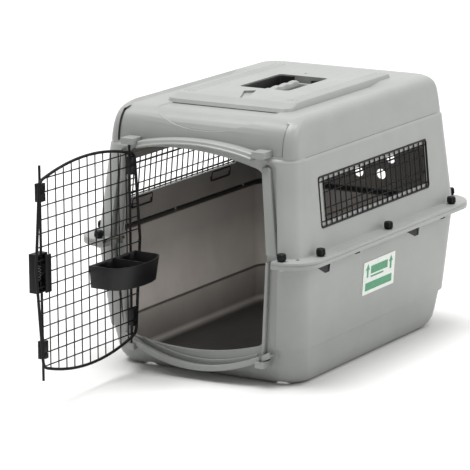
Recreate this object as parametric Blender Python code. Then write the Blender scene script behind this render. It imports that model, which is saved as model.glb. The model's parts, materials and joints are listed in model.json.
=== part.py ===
"""A two-piece moulded pet kennel with a wire door and wire window grilles.

World axes: +Z up, -Y is the door end, +X is the kennel's right side, and the origin is the middle of the
flat base. The door stands open, its latch rods are out and the carry handle is folded down.
"""

import math

import bmesh
import bpy
from mathutils import Matrix, Vector

GAP = 0.0003  # clearance between pieces that touch

# ---- Driving dimensions (metres) ----
FLANGE_HALF_WIDTH = 0.2605
FLANGE_HALF_LENGTH = 0.3555
FLANGE_CORNER = 0.062
FLANGE_TOP = 0.2586
SPLIT = 0.2522  # where the upper shell sits on the lower one
FLANGE_BOTTOM = 0.2440
WALL = 0.004
TOTAL_HEIGHT = 0.526
SHOULDER = 0.4421
CORNER_STEPS = 5

# Outer skins, one ring a line: height, half width, front reach, rear reach, corner radius.
UPPER_RINGS = (
    (SPLIT, FLANGE_HALF_WIDTH, FLANGE_HALF_LENGTH, FLANGE_HALF_LENGTH, FLANGE_CORNER),
    (FLANGE_TOP, FLANGE_HALF_WIDTH, FLANGE_HALF_LENGTH, FLANGE_HALF_LENGTH, FLANGE_CORNER),
    (FLANGE_TOP + 0.0001, 0.2306, 0.3305, 0.3305, 0.041),
    (SHOULDER, 0.2142, 0.3080, 0.3120, 0.041),
    (SHOULDER + 0.0005, 0.2080, 0.3020, 0.3060, 0.038),
    (0.4850, 0.2040, 0.2900, 0.3010, 0.042),
    (0.5050, 0.1990, 0.2790, 0.2950, 0.044),
    (0.5150, 0.1900, 0.2660, 0.2860, 0.044),
    (0.5175, 0.1780, 0.2500, 0.2740, 0.044),
)
LOWER_RINGS = (
    (SPLIT - GAP, FLANGE_HALF_WIDTH, FLANGE_HALF_LENGTH, FLANGE_HALF_LENGTH, FLANGE_CORNER),
    (FLANGE_BOTTOM, FLANGE_HALF_WIDTH, FLANGE_HALF_LENGTH, FLANGE_HALF_LENGTH, FLANGE_CORNER),
    (FLANGE_BOTTOM - 0.0001, 0.2325, 0.3280, 0.3280, 0.041),
    (0.0762, 0.2205, 0.3089, 0.3089, 0.041),
    (0.0757, 0.2160, 0.3040, 0.3040, 0.041),
    (0.0350, 0.2110, 0.2960, 0.2960, 0.045),
    (0.0120, 0.2050, 0.2850, 0.2850, 0.050),
    (0.0000, 0.1960, 0.2730, 0.2730, 0.050),
)

# The door, as it hangs when shut: a flat wire panel, widest at the flange.
DOOR_Y = -0.3165
DOOR_HALF_TOP = 0.1543
DOOR_HALF_MIDDLE = 0.1691
DOOR_HALF_BOTTOM = 0.1517
DOOR_CORNER_TOP = 0.4253
DOOR_APEX_TOP = 0.4490
DOOR_MIDDLE = 0.2583
DOOR_CORNER_BOTTOM = 0.0716
DOOR_APEX_BOTTOM = 0.0455
FRAME_RADIUS = 0.0030
MESH_RADIUS = 0.00125
MESH_OFFSET = 0.0014
MESH_PITCH = 0.0254
VERTICAL_WIRES = 11
HORIZONTAL_WIRES = 15
LOWEST_HORIZONTAL = 0.0740
ROD_RADIUS = 0.0025
ROD_X = 0.1451
ROD_Y = DOOR_Y - FRAME_RADIUS - ROD_RADIUS - GAP
OPEN_ANGLE = math.radians(91.8)
LATCH_TRAVEL = 0.010
ROD_TOP = 0.4538
ROD_BOTTOM = 0.0440
UPPER_LUG = (0.4458, 0.4578)
LOWER_LUG = (0.0380, 0.0525)
LUG_HALF_WIDTH = 0.014
CLIP_HEIGHT = 0.034
CLIP_X = (0.1395, 0.1560)
CLIP_FRONT = 0.0036  # how far a clip reaches in front of its rod's axis
CLIP_UPPER_Z = 0.3870
CLIP_LOWER_Z = 0.0880

# The latch, in door coordinates.
HOUSING = ((0.1285, 0.1625), (-0.3380, -0.3196), (0.2140, 0.2880))
HOUSING_WALL = 0.004
BACK_PLATE = ((0.1290, 0.1465), (-0.3135, -0.3105), (0.2140, 0.2860))
TAB_HALF_WIDTH = 0.0080
TAB_HEIGHT = 0.014
TAB_UPPER_Z = 0.2660
TAB_LOWER_Z = 0.2220
TAB_Y = (-0.3415, -0.3195)
ROD_GRIP = 0.0043  # the wall between a tab's blind bore and its far end
SPRING_TURNS = 5
SPRING_RADIUS = 0.0045
SPRING_WIRE = 0.0006

# The feeding bowl, in door coordinates.
BOWL_X = (-0.1460, 0.0060)
BOWL_BASE = 0.1935
BOWL_RIM = 0.2376
BOWL_DIVIDER = -0.0700
BOWL_WALL = 0.0025
BOWL_TAPER = 0.0050  # how far the base is inside the rim
BOWL_HOOK_WIRE = 6  # the level wire that the bowl hangs on
BOWL_HOOK_HALF = 0.0060

# Doorway ledge and recess in the front of both shells.
LEDGE_Y = DOOR_Y + FRAME_RADIUS + GAP
SURROUND_BACK = -0.2970
RECESS_MARGIN = 0.008
SURROUND_MARGIN = 0.012
SURROUND_SPREAD = 1.06  # the recess is wider than the door by this ratio at its sides
SURROUND_FRONT = -0.3700

# Windows in the upper side walls, each with its grille.
WINDOW_Y = (-0.2320, 0.2085)
WINDOW_Z = (0.3010, 0.4012)
WINDOW_CORNER = 0.008
GRILLE_WIRES = 20
GRILLE_RADIUS = 0.0015
GRILLE_RAILS = (0.34, 0.66)
CLIP_SPACING = 0.150  # each grille clip's distance from the window's middle
CLIP_HALF_LENGTH = 0.030
CLIP_DROP = 0.019

VENT_RADIUS = 0.0110
VENT_ROWS = (  # height, then each hole's place across
    (0.2908, (-0.052, 0.001, 0.054)),
    (0.3268, (-0.077, 0.078)),
    (0.3628, (-0.052, 0.001, 0.054)),
)

NUT_PLACES = tuple((side * 0.2455, y) for side in (1, -1) for y in (-0.268, 0.0, 0.268)) + tuple(
    (side * 0.2040, end * 0.3435) for end in (-1, 1) for side in (1, -1)
)
BOLT_RADIUS = 0.0030
BOLT_STICKS_OUT = 0.0110  # above the flange
KNOB_PROFILE = ((0.0, 0.0078), (0.0030, 0.0098), (0.0120, 0.0096), (0.0155, 0.0070))

# Handle pocket in the roof, and the handle that folds down into it.
POCKET_HALF_WIDTH = 0.056
POCKET_Y = (-0.0610, 0.0990)
POCKET_FLOOR = 0.4880
POCKET_CORNER = 0.008
PANEL_HALF_WIDTH = 0.1400
PANEL_Y = (-0.1750, 0.2180)
HANDLE_PIVOT = (0.030, 0.0190, 0.5080)
HANDLE_REACH = 0.040
HANDLE_ARM_Y = (0.0620, 0.0700)  # each arm, measured from the handle's middle
PIVOT_BLOCK_FRONT = 0.0720
PIN_RADIUS = 0.0040
GRIP_RADIUS = 0.0090
GRIP_SWELL = 0.0025
GRIP_HUMPS = 4
LINER_WALL = 0.003

# The label, on the right wall of the lower shell: its middle in (y, z), and its half sizes.
LABEL_CENTRE = (-0.0060, 0.1690)
LABEL_HALVES = (0.0640, 0.0330)

COLOURS = {
    "shell": ((0.36, 0.37, 0.355), 0.45, 0.0),
    "wire": ((0.015, 0.015, 0.016), 0.35, 0.4),
    "black": ((0.012, 0.012, 0.013), 0.40, 0.0),
    "grey_grip": ((0.42, 0.43, 0.42), 0.50, 0.0),
    "steel": ((0.45, 0.45, 0.44), 0.35, 1.0),
    "label": ((0.85, 0.86, 0.84), 0.55, 0.0),
}


def clear_scene():
    """Removes every object that the scene opens with."""
    for item in list(bpy.data.objects):
        bpy.data.objects.remove(item)


def material(finish):
    """The named finish as a Principled material, made once."""
    found = bpy.data.materials.get(finish)
    if found:
        return found
    colour, roughness, metallic = COLOURS[finish]
    made = bpy.data.materials.new(finish)
    made.use_nodes = True
    shader = made.node_tree.nodes["Principled BSDF"]
    shader.inputs["Base Color"].default_value = (*colour, 1.0)
    shader.inputs["Roughness"].default_value = roughness
    shader.inputs["Metallic"].default_value = metallic
    made.diffuse_color = (*colour, 1.0)
    return made


def add_object(name, vertices, faces, finish="shell"):
    """A mesh object with its faces turned outwards."""
    mesh = bpy.data.meshes.new(name)
    mesh.from_pydata([tuple(v) for v in vertices], [], faces)
    work = bmesh.new()
    work.from_mesh(mesh)
    bmesh.ops.recalc_face_normals(work, faces=work.faces)
    work.to_mesh(mesh)
    work.free()
    made = bpy.data.objects.new(name, mesh)
    made.data.materials.append(material(finish))
    bpy.context.scene.collection.objects.link(made)
    return made


def combine(target, tool, operation):
    """Applies one Boolean to target and removes the tool."""
    step = target.modifiers.new(operation.title(), "BOOLEAN")
    step.operation = operation
    step.solver = "EXACT"
    step.object = tool
    graph = bpy.context.evaluated_depsgraph_get()
    result = bpy.data.meshes.new_from_object(target.evaluated_get(graph))
    target.modifiers.clear()
    target.data = result
    bpy.data.objects.remove(tool)
    return target


def join(name, pieces, finish="shell"):
    """One object from several that don't touch each other."""
    vertices = []
    faces = []
    for piece in pieces:
        start = len(vertices)
        vertices += [piece.matrix_world @ v.co for v in piece.data.vertices]
        faces += [[start + i for i in face.vertices] for face in piece.data.polygons]
        bpy.data.objects.remove(piece)
    return add_object(name, vertices, faces, finish)


def box(name, spans, finish="shell"):
    """A box from its (low, high) spans along X, Y and Z."""
    (x0, x1), (y0, y1), (z0, z1) = spans
    corners = [(x, y, z) for z in (z0, z1) for x, y in ((x0, y0), (x1, y0), (x1, y1), (x0, y1))]
    sides = [(i, (i + 1) % 4, (i + 1) % 4 + 4, i + 4) for i in range(4)]
    return add_object(name, corners, [(3, 2, 1, 0), (4, 5, 6, 7)] + sides, finish)


def loft(name, rings, finish="shell"):
    """A closed solid through rings of equally many points."""
    count = len(rings[0])
    vertices = [point for ring in rings for point in ring]
    faces = [list(range(count))[::-1]]
    for level in range(len(rings) - 1):
        for i in range(count):
            j = (i + 1) % count
            low, high = level * count, (level + 1) * count
            faces.append((low + i, low + j, high + j, high + i))
    last = (len(rings) - 1) * count
    faces.append([last + i for i in range(count)])
    return add_object(name, vertices, faces, finish)


def prism(name, outline, axis, low, high, finish="shell"):
    """An outline of (a, b) points extruded along an axis: 'X' takes (y, z), 'Y' (x, z) and 'Z' (x, y)."""

    def place(a, b, c):
        return {"X": (c, a, b), "Y": (a, c, b), "Z": (a, b, c)}[axis]

    return loft(name, [[place(a, b, level) for a, b in outline] for level in (low, high)], finish)


def circle(centre, radius, sides):
    """Points of a regular polygon round a centre."""
    turn = 2 * math.pi / sides
    return [
        (centre[0] + radius * math.cos(i * turn), centre[1] + radius * math.sin(i * turn))
        for i in range(sides)
    ]


def rounded_rectangle(x_span, y_span, radius, steps=CORNER_STEPS):
    """Points of a rectangle with round corners, anticlockwise."""
    (x0, x1), (y0, y1) = x_span, y_span
    centres = (
        (x1 - radius, y0 + radius, -90),
        (x1 - radius, y1 - radius, 0),
        (x0 + radius, y1 - radius, 90),
        (x0 + radius, y0 + radius, 180),
    )
    points = []
    for cx, cy, start in centres:
        for i in range(steps + 1):
            angle = math.radians(start + 90 * i / steps)
            points.append((cx + radius * math.cos(angle), cy + radius * math.sin(angle)))
    return points


def tube(name, path, radius, sides, normal, closed=False, finish="wire"):
    """A wire along a path that lies in the plane with this normal, or is straight."""
    normal = Vector(normal).normalized()
    points = [Vector(p) for p in path]
    count = len(points)
    rings = []
    for i, point in enumerate(points):
        before = points[i - 1] if closed or i else point
        after = points[(i + 1) % count] if closed or i < count - 1 else point
        into = (point - before).normalized()
        out = (after - point).normalized()
        tangent = (into + out).normalized()
        side = normal.cross(tangent).normalized()
        stretch = 1.0
        if into.length and out.length:
            stretch = 1.0 / max(0.5, tangent.dot(out))
        ring = []
        for k in range(sides):
            angle = 2 * math.pi * (k + 0.5) / sides
            ring.append(
                point + radius * (math.cos(angle) * stretch * side + math.sin(angle) * normal)
            )
        rings.append(ring)
    if not closed:
        return loft(name, rings, finish)
    vertices = [p for ring in rings for p in ring]
    faces = []
    for i in range(count):
        low, high = i * sides, (i + 1) % count * sides
        for k in range(sides):
            m = (k + 1) % sides
            faces.append((low + k, low + m, high + m, high + k))
    return add_object(name, vertices, faces, finish)


def rod(name, start, end, radius, sides=8, finish="wire"):
    """A straight round bar between two points."""
    direction = (Vector(end) - Vector(start)).normalized()
    normal = Vector((0, 1, 0)) if abs(direction.y) < 0.9 else Vector((1, 0, 0))
    return tube(name, (start, end), radius, sides, normal, finish=finish)


# ---- Outlines of the door and its doorway, in (x, z) ----


def half_width_at(z):
    """Half the door's width at a height."""
    if z > DOOR_MIDDLE:
        part = (z - DOOR_MIDDLE) / (DOOR_CORNER_TOP - DOOR_MIDDLE)
        return DOOR_HALF_MIDDLE + (DOOR_HALF_TOP - DOOR_HALF_MIDDLE) * part
    part = (DOOR_MIDDLE - z) / (DOOR_MIDDLE - DOOR_CORNER_BOTTOM)
    return DOOR_HALF_MIDDLE + (DOOR_HALF_BOTTOM - DOOR_HALF_MIDDLE) * part


def top_at(x, margin=0.0):
    """Height of the door's arched top over x."""
    rise = DOOR_APEX_TOP - DOOR_CORNER_TOP
    return DOOR_CORNER_TOP + margin + rise * (1 - (x / (DOOR_HALF_TOP + margin)) ** 2)


def bottom_at(x, margin=0.0):
    """Height of the door's bowed bottom under x."""
    drop = DOOR_CORNER_BOTTOM - DOOR_APEX_BOTTOM
    return DOOR_CORNER_BOTTOM - margin - drop * (1 - (x / (DOOR_HALF_BOTTOM + margin)) ** 2)


def door_outline(margin=0.0, steps=10):
    """The door's outline grown by a margin: arched top, bowed bottom, widest at mid height."""
    top_half = DOOR_HALF_TOP + margin
    low_half = DOOR_HALF_BOTTOM + margin
    points = [(DOOR_HALF_MIDDLE + margin, DOOR_MIDDLE)]
    for i in range(steps + 1):
        x = top_half * (1 - 2 * i / steps)
        points.append((x, top_at(x, margin)))
    points.append((-DOOR_HALF_MIDDLE - margin, DOOR_MIDDLE))
    for i in range(steps + 1):
        x = low_half * (2 * i / steps - 1)
        points.append((x, bottom_at(x, margin)))
    return points


def doorway_outline(steps=10):
    """The clear doorway: a stop ledge on the right and below, room for the hinge edge on the left."""
    left = ((-0.1610, 0.4320), (-0.1756, DOOR_MIDDLE), (-0.1590, 0.0650))
    right = ((0.1405, 0.0800), (0.1505, DOOR_MIDDLE), (0.1425, 0.4170))
    points = [right[1]]
    for i in range(steps + 1):
        t = i / steps
        x = right[2][0] + (left[0][0] - right[2][0]) * t
        z = right[2][1] + (left[0][1] - right[2][1]) * t
        points.append((x, z + 4 * t * (1 - t) * 0.0190))
    points.append(left[1])
    for i in range(steps + 1):
        t = i / steps
        x = left[2][0] + (right[0][0] - left[2][0]) * t
        z = left[2][1] + (right[0][1] - left[2][1]) * t
        points.append((x, z - 4 * t * (1 - t) * 0.0215))
    return points


def spread(outline):
    """An outline made wider by the surround's ratio."""
    return [(x * SURROUND_SPREAD, z) for x, z in outline]


# ---- Shells ----


def skin(rings, inset=0.0):
    """Rings of points for a skin, inset horizontally by a wall thickness."""
    made = []
    for z, half_width, front, rear, radius in rings:
        outline = rounded_rectangle(
            (-half_width + inset, half_width - inset), (-front + inset, rear - inset), radius
        )
        made.append([(x, y, z) for x, y in outline])
    return made


def hollow_shell(name, outer, wall_rings, floor_shift):
    """A shell open at its first ring: the outer skin, and an inner one from the wall rings."""
    inner = skin(wall_rings, WALL)
    inner[0] = [(x, y, outer[0][0]) for x, y, _ in inner[0]]
    inner[-1] = [(x, y, z + floor_shift) for x, y, z in inner[-1]]
    rings = skin(outer) + inner[::-1]
    count = len(rings[0])
    split = len(outer)
    vertices = [p for ring in rings for p in ring]
    faces = []
    pairs = [(k, k + 1) for k in range(len(rings) - 1) if k != split - 1] + [(len(rings) - 1, 0)]
    for low, high in pairs:
        for i in range(count):
            j = (i + 1) % count
            faces.append((low * count + i, low * count + j, high * count + j, high * count + i))
    faces.append([(split - 1) * count + i for i in range(count)])
    faces.append([split * count + i for i in range(count)][::-1])
    return add_object(name, vertices, faces)


def door_surround(name, outer, low, high):
    """The thick front of a shell round the doorway, before its recess and doorway are cut."""
    wide = spread(door_outline(SURROUND_MARGIN))
    outline = [(x, min(max(z, low), high)) for x, z in wide]
    thick = prism(name, outline, "Y", SURROUND_FRONT, SURROUND_BACK)
    body = loft("body", skin(outer, 0.0005))
    combine(thick, body, "INTERSECT")
    band = prism("band", outline, "Y", LEDGE_Y, SURROUND_BACK)
    return combine(thick, band, "UNION")


def cut_doorway(shell):
    """Cuts the door's recess back to its ledge, then the doorway right through."""
    recess = spread(door_outline(RECESS_MARGIN))
    combine(shell, prism("recess", recess, "Y", -0.40, LEDGE_Y), "DIFFERENCE")
    combine(shell, prism("way", doorway_outline(), "Y", -0.40, -0.28), "DIFFERENCE")


def drilled_lugs(heights, back):
    """A pair of blocks that take the hinge and latch rods in upright holes."""
    pieces = []
    for side in (-1, 1):
        spans = ((side * ROD_X - LUG_HALF_WIDTH, side * ROD_X + LUG_HALF_WIDTH), (-0.3310, back), heights)
        pieces.append(box("lug", spans))
    return join("lugs", pieces)


def rod_holes(low, high):
    """Cutters for the rods' ends."""
    pieces = [
        prism("hole", circle((side * ROD_X, ROD_Y), ROD_RADIUS + 2 * GAP, 8), "Z", low, high)
        for side in (-1, 1)
    ]
    return join("holes", pieces)


def bolt_holes(low, high):
    """Cutters for the flange bolts."""
    pieces = [prism("hole", circle(p, BOLT_RADIUS + GAP, 8), "Z", low, high) for p in NUT_PLACES]
    return join("holes", pieces)


def window_cutters():
    """Cutters for the two side windows."""
    outline = rounded_rectangle(WINDOW_Y, WINDOW_Z, WINDOW_CORNER, 2)
    pieces = [prism("window", outline, "X", side * 0.30, side * 0.15) for side in (-1, 1)]
    return join("windows", pieces)


def vent_cutters():
    """Cutters for the round vents in the rear wall."""
    pieces = []
    for z, row in VENT_ROWS:
        for x in row:
            pieces.append(prism("vent", circle((x, z), VENT_RADIUS, 12), "Y", 0.28, 0.36))
    return join("vents", pieces)


def upper_shell():
    """The roof half: walls, shoulder, raised roof panel, handle pocket, windows and vents."""
    wall_rings = [ring for ring in UPPER_RINGS if ring[0] not in (FLANGE_TOP, UPPER_RINGS[-2][0])]
    wall_rings[0] = (SPLIT, 0.2312, 0.3312, 0.3312, 0.041)
    shell = hollow_shell("upper_shell", UPPER_RINGS, wall_rings, -WALL)
    panel = loft(
        "panel",
        [
            [(x, y, z) for x, y in rounded_rectangle((-half, half), span, 0.02, 3)]
            for z, half, span in (
                (0.5160, PANEL_HALF_WIDTH + 0.002, (PANEL_Y[0] - 0.002, PANEL_Y[1] + 0.002)),
                (TOTAL_HEIGHT, PANEL_HALF_WIDTH, PANEL_Y),
            )
        ],
    )
    combine(shell, panel, "UNION")
    width = POCKET_HALF_WIDTH
    front, rear = POCKET_Y
    tub = box(
        "tub",
        ((-width - WALL, width + WALL), (front - WALL, rear + WALL), (POCKET_FLOOR - WALL, 0.5200)),
    )
    combine(shell, tub, "UNION")
    outline = rounded_rectangle((-width, width), POCKET_Y, POCKET_CORNER, 2)
    combine(shell, prism("pocket", outline, "Z", POCKET_FLOOR, 0.60), "DIFFERENCE")
    combine(shell, door_surround("surround", UPPER_RINGS, SPLIT, 1.0), "UNION")
    cut_doorway(shell)
    combine(shell, drilled_lugs(UPPER_LUG, -0.2990), "UNION")
    combine(shell, rod_holes(0.4400, 0.4550), "DIFFERENCE")
    combine(shell, window_cutters(), "DIFFERENCE")
    combine(shell, vent_cutters(), "DIFFERENCE")
    combine(shell, bolt_holes(0.2400, 0.2900), "DIFFERENCE")
    return shell


def sill():
    """The bowed lip under the doorway."""
    half = 0.166
    steps = 10
    rings = []
    for i in range(steps + 1):
        x = half * (2 * i / steps - 1)
        top = 0.0300 + 0.0250 * (x / 0.150) ** 2
        front = -0.3340 + 0.012 * (x / half) ** 2
        rings.append([(x, front, top - WALL), (x, -0.2860, top - WALL), (x, -0.2860, top), (x, front, top)])
    return loft("sill", rings)


def lower_shell():
    """The floor half: drafted walls with a crease, bowed sill, foot notches."""
    wall_rings = [ring for ring in LOWER_RINGS if ring[0] != FLANGE_BOTTOM]
    wall_rings[0] = (LOWER_RINGS[0][0], 0.2312, 0.3290, 0.3290, 0.041)
    shell = hollow_shell("lower_shell", LOWER_RINGS, wall_rings, WALL)
    combine(shell, door_surround("surround", LOWER_RINGS, 0.0, SPLIT - GAP), "UNION")
    combine(shell, sill(), "UNION")
    combine(shell, drilled_lugs(LOWER_LUG, -0.2930), "UNION")
    cut_doorway(shell)
    combine(shell, rod_holes(0.0405, 0.0700), "DIFFERENCE")
    combine(shell, bolt_holes(0.2300, 0.2700), "DIFFERENCE")
    return shell


# ---- Door ----


def door_panel():
    """The welded wire panel: a heavy frame, upright wires on its outer side, level wires inside."""
    outline = door_outline(0.0, 12)
    path = [(x, DOOR_Y, z) for x, z in outline]
    frame = tube("door_panel", path, FRAME_RADIUS, 8, (0, 1, 0), closed=True)
    uprights = []
    for i in range(VERTICAL_WIRES):
        x = (i - (VERTICAL_WIRES - 1) / 2) * MESH_PITCH
        y = DOOR_Y - MESH_OFFSET
        start = (x, y, bottom_at(x))
        uprights.append(rod("upright", start, (x, y, top_at(x)), MESH_RADIUS, 4))
    combine(frame, join("uprights", uprights), "UNION")
    levels = []
    for i in range(HORIZONTAL_WIRES):
        z = LOWEST_HORIZONTAL + i * MESH_PITCH
        half = half_width_at(z)
        y = DOOR_Y + MESH_OFFSET
        levels.append(rod("level", (-half, y, z), (half, y, z), MESH_RADIUS, 4))
    return combine(frame, join("levels", levels), "UNION")


def rod_clip(name, side, z):
    """A moulded clip that holds a rod beside the frame's side wire, slotted for the level wires."""
    back = LEDGE_Y - GAP
    top = z + CLIP_HEIGHT
    clip = box(name, (sorted(side * x for x in CLIP_X), (ROD_Y - CLIP_FRONT, back), (z, top)), "black")
    bore = prism("bore", circle((side * ROD_X, ROD_Y), ROD_RADIUS + GAP, 8), "Z", z - 0.01, top + 0.01)
    combine(clip, bore, "DIFFERENCE")
    low = (side * half_width_at(z - 0.01), DOOR_Y, z - 0.01)
    high = (side * half_width_at(top + 0.01), DOOR_Y, top + 0.01)
    combine(clip, rod("wire", low, high, FRAME_RADIUS + 0.0005), "DIFFERENCE")
    beyond = side * (CLIP_X[1] + 0.01)
    outside = [(low[0], low[2]), (beyond, low[2]), (beyond, high[2]), (high[0], high[2])]
    combine(clip, prism("outside", outside, "Y", DOOR_Y, back + 0.01), "DIFFERENCE")
    reach = MESH_RADIUS + GAP
    for level in range(HORIZONTAL_WIRES):
        wire_z = LOWEST_HORIZONTAL + level * MESH_PITCH
        if z - reach < wire_z < top + reach:
            spans = (
                sorted((side * 0.13, side * 0.17)),
                (DOOR_Y + MESH_OFFSET - reach, back + 0.01),
                (wire_z - reach, wire_z + reach),
            )
            combine(clip, box("slot", spans), "DIFFERENCE")
    return clip


def latch_housing():
    """The outer latch cover, with a window for the two finger tabs."""
    (x0, x1), (y0, y1), (z0, z1) = HOUSING
    wall = HOUSING_WALL
    cover = box("latch_housing", HOUSING, "black")
    cavity = ((x0 + wall, x1 - wall), (y0 + wall, y1 + 0.01), (z0 + wall, z1 - wall))
    combine(cover, box("cavity", cavity), "DIFFERENCE")
    window = ((ROD_X - 0.0088, ROD_X + 0.0088), (y0 - 0.01, y0 + 0.01), (z0 + 0.0065, z1 - 0.0065))
    combine(cover, box("window", window), "DIFFERENCE")
    bore = prism("bore", circle((ROD_X, ROD_Y), ROD_RADIUS + 0.0005, 8), "Z", z0 - 0.01, z1 + 0.01)
    return combine(cover, bore, "DIFFERENCE")


def latch_tab(name, z, up):
    """A finger tab that carries the end of one latch rod."""
    spans = ((ROD_X - TAB_HALF_WIDTH, ROD_X + TAB_HALF_WIDTH), TAB_Y, (z, z + TAB_HEIGHT))
    tab = box(name, spans, "black")
    blind = ROD_GRIP - GAP
    low, high = (z + blind, z + 0.05) if up else (z - 0.05, z + TAB_HEIGHT - blind)
    bore = prism("bore", circle((ROD_X, ROD_Y), ROD_RADIUS + GAP, 8), "Z", low, high)
    return combine(tab, bore, "DIFFERENCE")


def latch_spring():
    """The coil spring that pushes the two tabs apart."""
    low = TAB_LOWER_Z + TAB_HEIGHT + GAP + SPRING_WIRE
    high = TAB_UPPER_Z - GAP - SPRING_WIRE
    steps = 8 * SPRING_TURNS
    centre_y = (HOUSING[1][0] + TAB_Y[1]) / 2
    path = []
    for i in range(steps + 1):
        angle = 2 * math.pi * i / 8
        x = ROD_X + SPRING_RADIUS * math.cos(angle)
        y = centre_y + SPRING_RADIUS * math.sin(angle)
        path.append((x, y, low + (high - low) * i / steps))
    return tube("latch_spring", path, SPRING_WIRE, 4, (0, 0, 1), finish="steel")


def bowl_outline(grow, back):
    """Plan outline of the bowl: flat back on the door, curved front, in door coordinates."""
    left, right = BOWL_X[0] - grow, BOWL_X[1] + grow
    middle = (left + right) / 2
    half = (right - left) / 2
    points = [(left, back), (right, back)]
    for i in range(9):
        angle = math.pi * i / 8
        reach = 0.050 + 0.030 * math.sin(angle) + grow
        points.append((middle + half * math.cos(angle), back + reach))
    return points


def bowl_cup(side, back):
    """The hollow of one cup, on the hinge side (-1) or the latch side (1) of the divider."""
    limit = BOWL_DIVIDER + side * BOWL_WALL / 2
    rings = []
    for z, grow in ((BOWL_BASE + 0.003, -BOWL_TAPER - BOWL_WALL), (BOWL_RIM + 0.001, -BOWL_WALL)):
        ring = []
        for x, y in bowl_outline(grow, back + BOWL_WALL):
            kept_x = max(x, limit) if side > 0 else min(x, limit)
            kept_y = y - BOWL_WALL if y > back + 0.01 else y
            ring.append((kept_x, kept_y, z))
        rings.append(ring)
    cup = loft("cup", rings)
    merge = bmesh.new()
    merge.from_mesh(cup.data)
    bmesh.ops.remove_doubles(merge, verts=merge.verts, dist=0.00005)
    bmesh.ops.dissolve_degenerate(merge, dist=0.00005, edges=merge.edges)
    bmesh.ops.recalc_face_normals(merge, faces=merge.faces)
    merge.to_mesh(cup.data)
    merge.free()
    return cup


def double_bowl():
    """A two-cup feeding bowl that hooks on the door's inner side."""
    back = DOOR_Y + MESH_OFFSET + MESH_RADIUS + 2 * GAP
    rings = [
        [(x, y, BOWL_BASE) for x, y in bowl_outline(-BOWL_TAPER, back)],
        [(x, y, BOWL_RIM) for x, y in bowl_outline(0.0, back)],
    ]
    bowl = loft("double_bowl", rings, "black")
    for side in (-1, 1):
        combine(bowl, bowl_cup(side, back), "DIFFERENCE")
    wire_z = LOWEST_HORIZONTAL + BOWL_HOOK_WIRE * MESH_PITCH
    low = wire_z + MESH_RADIUS + GAP
    high = low + BOWL_WALL
    hook_front = DOOR_Y - 0.0060
    for between in (-4.5, -1.5):
        x = between * MESH_PITCH
        span = (x - BOWL_HOOK_HALF, x + BOWL_HOOK_HALF)
        arm = box("arm", (span, (back, back + 0.003), (BOWL_RIM - 0.004, high)))
        over = box("over", (span, (hook_front, back + 0.001), (low, high)))
        hook = box("hook", (span, (hook_front, hook_front + BOWL_WALL), (wire_z - 0.006, low + 0.001)))
        for piece in (arm, over, hook):
            combine(bowl, piece, "UNION")
    return bowl


def door():
    """The door and all it carries, built shut and then swung open about the hinge rod."""
    hinge = bpy.data.objects.new("door_hinge", None)
    bpy.context.scene.collection.objects.link(hinge)
    pieces = [
        door_panel(),
        rod("hinge_rod", (-ROD_X, ROD_Y, ROD_BOTTOM), (-ROD_X, ROD_Y, ROD_TOP), ROD_RADIUS),
        rod_clip("hinge_clip_upper", -1, CLIP_UPPER_Z),
        rod_clip("hinge_clip_lower", -1, CLIP_LOWER_Z),
        rod_clip("latch_clip_upper", 1, CLIP_UPPER_Z),
        rod_clip("latch_clip_lower", 1, CLIP_LOWER_Z),
        latch_housing(),
        box("latch_back_plate", BACK_PLATE, "black"),
        latch_tab("latch_tab_upper", TAB_UPPER_Z, True),
        latch_tab("latch_tab_lower", TAB_LOWER_Z, False),
        rod("latch_rod_upper", (ROD_X, ROD_Y, TAB_UPPER_Z + ROD_GRIP), (ROD_X, ROD_Y, ROD_TOP), ROD_RADIUS),
        rod("latch_rod_lower", (ROD_X, ROD_Y, ROD_BOTTOM),
            (ROD_X, ROD_Y, TAB_LOWER_Z + TAB_HEIGHT - ROD_GRIP), ROD_RADIUS),
        latch_spring(),
        double_bowl(),
    ]
    axis = Vector((-ROD_X, ROD_Y, 0))
    for piece in pieces:
        piece.data.transform(Matrix.Translation(-axis))
        piece.parent = hinge
    hinge.location = axis
    hinge.rotation_euler = (0, 0, -OPEN_ANGLE)


# ---- Windows ----


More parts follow.
